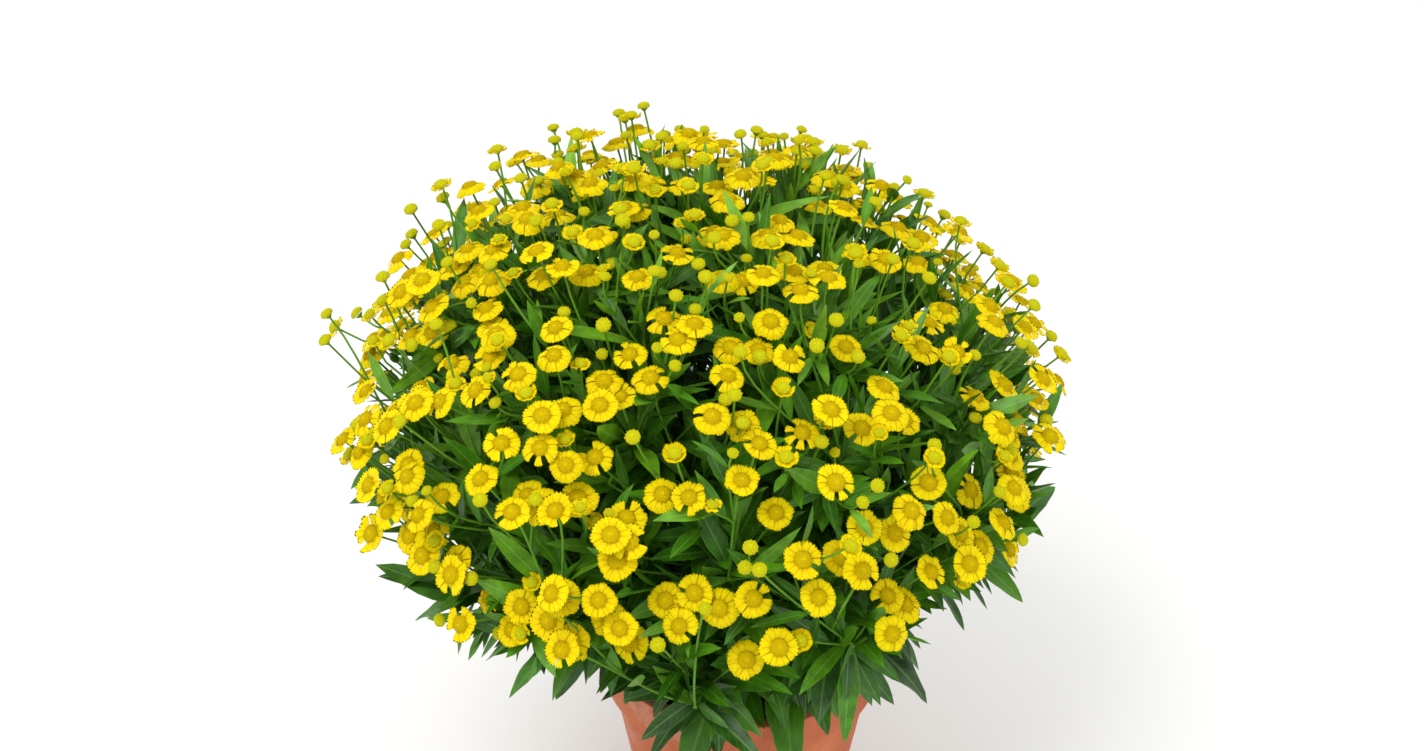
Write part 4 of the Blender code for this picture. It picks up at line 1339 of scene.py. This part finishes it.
def drain_rods():
    """Rods through the pot's floor, evenly round its axis."""
    rods = bmesh.new()
    for turn in even_turns(DRAINS) + FULL_TURN / DRAINS / 2:
        made = bmesh.ops.create_cone(rods, cap_ends=True, segments=DRAIN_SIDES, radius1=DRAIN_RADIUS,
                                     radius2=DRAIN_RADIUS, depth=4 * POT_FLOOR)
        place = (DRAIN_OFFSET * math.cos(turn), DRAIN_OFFSET * math.sin(turn), 0)
        bmesh.ops.translate(rods, verts=made["verts"], vec=place)
    mesh = bpy.data.meshes.new("drain_rods")
    rods.to_mesh(mesh)
    rods.free()
    return bpy.data.objects.new("drain_rods", mesh)


rods = drain_rods()
blank = bpy.data.objects.new("pot_blank", pot_mesh)
for solid in (rods, blank):
    bpy.context.scene.collection.objects.link(solid)
cut = blank.modifiers.new("Drains", "BOOLEAN")
cut.operation = "DIFFERENCE"
cut.object = rods
bpy.context.view_layer.update()
drained = bpy.data.meshes.new_from_object(blank.evaluated_get(bpy.context.evaluated_depsgraph_get()))
for solid in (rods, blank):
    bpy.data.objects.remove(solid)
drained.shade_smooth()
drained.set_sharp_from_angle(angle=POT_SHARP)
drained.materials.clear()
drained.materials.append(terracotta)
place_piece("terracotta_pot", drained, ["pot"])

# %% [markdown]
# Potting soil is a loose mix of dark bark and peat, with lighter fibres. Its crumbs are a few
# millimetres across, which a noise on the object's own coordinates gives in colour and in bump.

# %% Soil finish


def soil_finish():
    """Potting mix, loose: near-black brown crumbs, with lighter fibres here and there."""
    finish, shader = new_finish("crumbly_potting_mix", Roughness=0.95, IOR=1.4)
    place = add(finish, "ShaderNodeTexCoord").outputs["Object"]
    shade = add(finish, "ShaderNodeAttribute", attribute_name="shade").outputs["Fac"]
    crumbs = add(finish, "ShaderNodeTexNoise", {"Vector": place, "Scale": 260.0, "Detail": 4.0})
    dark = add(finish, "ShaderNodeValToRGB", {"Fac": crumbs.outputs["Fac"]}, stops=(
        (0.35, "#17100B"), (0.55, "#2E2118"), (0.72, "#4E3A28")))
    mixed = add(finish, "ShaderNodeMixRGB", {"Fac": shade, "Color1": dark.outputs["Color"],
                                             "Color2": linear("#5E4028")})
    bump = add(finish, "ShaderNodeBump", {"Height": crumbs.outputs["Fac"], "Strength": 0.8,
                                          "Distance": 0.0015})
    return plugged(finish, shader, mixed, bump)


potting_mix = soil_finish()

# %% [markdown]
# The top of the soil is a heap of crumbs. A physics run could drop thousands of them, but little of it
# shows between the stems, so the surface is raised by a sum of waves of many lengths. It is one closed
# shell: a flat foot, a wall that follows the pot, and rings that close in on the middle.

# %% Soil surface
SOIL_ROWS = 64
SOIL_SIDES = 160
SOIL_WAVES = 70
SOIL_WAVE_LENGTHS = (0.004, 0.06)  # shortest and longest
SOIL_WAVE_HEIGHT = 0.0035
SOIL_EDGE_DROP = 0.002  # how far the soil sinks at the pot
SOIL_GAP = 0.0003  # between soil and pot


def crumbled(x, y, draw):
    """Heights in metres: a sum of waves in random directions, each lower the shorter it is."""
    length = np.exp(draw.uniform(*(math.log(end) for end in SOIL_WAVE_LENGTHS), SOIL_WAVES))
    turn = draw.uniform(0, FULL_TURN, SOIL_WAVES)
    phase = draw.uniform(0, FULL_TURN, SOIL_WAVES)
    ways = (x[..., None] * np.cos(turn) + y[..., None] * np.sin(turn)) * FULL_TURN / length
    return (np.sin(ways + phase) * length ** 0.7).sum(axis=-1) * SOIL_WAVE_HEIGHT


soil_low, soil_high = (np.array(corner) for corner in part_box("soil"))
soil_radius = float(soil_high[0])
draw = np.random.default_rng(15)
spoke = np.linspace(0, 1, SOIL_ROWS)[1:, None]
round_about = turned(np.array([1.0, 0.0]), np.array([0.0, 1.0]), even_turns(SOIL_SIDES))
x, y = (spoke * round_about[:, axis] * soil_radius for axis in (0, 1))
top = soil_high[2] + crumbled(x, y, draw) - SOIL_EDGE_DROP * spoke ** 6
foot = np.column_stack([(inside_foot - SOIL_GAP) * round_about, np.full(SOIL_SIDES, soil_low[2])])
soil_rings = np.concatenate([foot[None], np.stack([x, y, top], axis=-1)[::-1]])[None]
print("soil radius mm", round(soil_radius * 1000, 1), "relief mm", (np.ptp(top) * 1000).round(1))

# %% [markdown]
# Chips of bark lie on top. Each is a short, thick, five-sided rod with uneven ends, turned at random.

# %% Soil with its chips of bark
CHIPS = 260
CHIP_SIDES = 5
CHIP_MARGIN = 0.006  # distance kept from the pot
CHIP_LIFT = 0.0015
CHIP_LENGTHS = (0.003, 0.008)
CHIP_RADII = (0.0008, 0.0018)
CHIP_LIES = np.array([1, 1, 0.3])  # a small share upwards lays them flat
CHIP_ROWS = np.array([-0.5, -0.2, 0.25, 0.5])  # rows, in lengths from the middle
CHIP_SWELL = np.array([0.6, 1.0, 0.9, 0.5])  # and the radius of each
out = np.sqrt(draw.random(CHIPS)) * (soil_radius - CHIP_MARGIN)
turn = draw.uniform(0, FULL_TURN, CHIPS)
height = np.full(CHIPS, soil_high[2] + CHIP_LIFT)
middles = np.column_stack([out * np.cos(turn), out * np.sin(turn), height])
way = unit(draw.normal(0, 1, (CHIPS, 3)) * CHIP_LIES) * draw.uniform(*CHIP_LENGTHS, (CHIPS, 1))
chip_paths = middles[:, None] + way[:, None] * CHIP_ROWS[None, :, None]
chip_radii = draw.uniform(*CHIP_RADII, (CHIPS, 1)) * CHIP_SWELL
make_piece("potting_soil", [
    shells(soil_rings, 0.5, 0.0, 0.0, np.array([[0, 0, float(top.mean())]])),
    shells(round_rings(chip_paths, chip_radii, CHIP_SIDES), 0.5, 0.0, draw.uniform(0.2, 1, (CHIPS, 1, 1))),
], potting_mix, ["soil"])

# %% [markdown]
# The photo is a cut-out on white with soft light from above. A pale plain floor, a bright sky all round
# and one large lamp come near that, and a weaker lamp at the side keeps the shaded half open.

# %% Floor and light
TARGET = np.array([-0.036, 0.0, 0.44])  # what the camera and the lamps face
FLOOR_REACH = 9
FLOOR_HEIGHT = -0.0005  # a little under the pot's foot
SKY_STRENGTH = 0.95

floor_mesh = bpy.data.meshes.new("floor")
floor_corners = [(x * FLOOR_REACH, y * FLOOR_REACH, 0) for x, y in ((-1, -1), (1, -1), (1, 1), (-1, 1))]
floor_mesh.from_pydata(floor_corners, [], [(0, 1, 2, 3)])
floor = bpy.data.objects.new("floor", floor_mesh)
floor.location.z = FLOOR_HEIGHT
bpy.context.scene.collection.objects.link(floor)
floor_finish, floor_shader = new_finish("pale_painted_floor", Roughness=0.9)
floor_shader.inputs["Base Color"].default_value = linear("#F4F4F2")
floor_mesh.materials.append(floor_finish)

world = bpy.data.worlds.new("soft_sky")
world.use_nodes = True
sky = world.node_tree.nodes["Background"]
sky.inputs["Color"].default_value = (1.0, 1.0, 1.0, 1.0)
sky.inputs["Strength"].default_value = SKY_STRENGTH
bpy.context.scene.world = world


def area_lamp(name, place, size, power):
    """A square lamp at a place, turned towards the mound."""
    light = bpy.data.lights.new(name, "AREA")
    light.size = size
    light.energy = power
    lamp = bpy.data.objects.new(name, light)
    lamp.location = place
    lamp.rotation_euler = (Vector(TARGET) - lamp.location).to_track_quat("-Z", "Y").to_euler()
    bpy.context.scene.collection.objects.link(lamp)


area_lamp("top_lamp", (-1.0, -1.2, 3.0), size=1.6, power=50.0)
area_lamp("side_lamp", (2.4, -0.8, 1.8), size=1.8, power=14.0)
print("lamps", len(bpy.data.lights))

# %% [markdown]
# The photo was taken from above, at about 36 degrees, which is known from how much the blooms are
# flattened. How fast their widths fall off with distance gives how far away the camera stood, and the
# mound's width gives the lens. The camera then turns a little until the mound lies where it does there.

# %% Camera
PHOTO_WIDTH, PHOTO_HEIGHT = 1424, 751
CAMERA_TILT = math.radians(36)
CAMERA_DISTANCE = 2.1
CAMERA_LENS = 65.92  # focal length in millimetres
SENSOR_WIDTH = 36.0
TARGET_PIXEL = (698, 424)  # where the target lies in the photo

metres_a_pixel = CAMERA_DISTANCE * SENSOR_WIDTH / CAMERA_LENS / PHOTO_WIDTH
rightward = np.array([1.0, 0.0, 0.0])
backward = np.array([0.0, -math.cos(CAMERA_TILT), math.sin(CAMERA_TILT)])
upward = np.array([0.0, math.sin(CAMERA_TILT), math.cos(CAMERA_TILT)])
aim = TARGET + metres_a_pixel * ((PHOTO_WIDTH / 2 - TARGET_PIXEL[0]) * rightward
                                 + (TARGET_PIXEL[1] - PHOTO_HEIGHT / 2) * upward)
eye = bpy.data.cameras.new("photo_camera")
eye.lens = CAMERA_LENS
eye.sensor_width = SENSOR_WIDTH
camera = bpy.data.objects.new("photo_camera", eye)
camera.location = TARGET + backward * CAMERA_DISTANCE
camera.rotation_euler = (Vector(aim) - camera.location).to_track_quat("-Z", "Y").to_euler()
bpy.context.scene.collection.objects.link(camera)
bpy.context.scene.camera = camera
bpy.context.scene.view_settings.view_transform = "Standard"
print("a pixel at the mound's middle is", round(metres_a_pixel * 1000, 2), "mm")
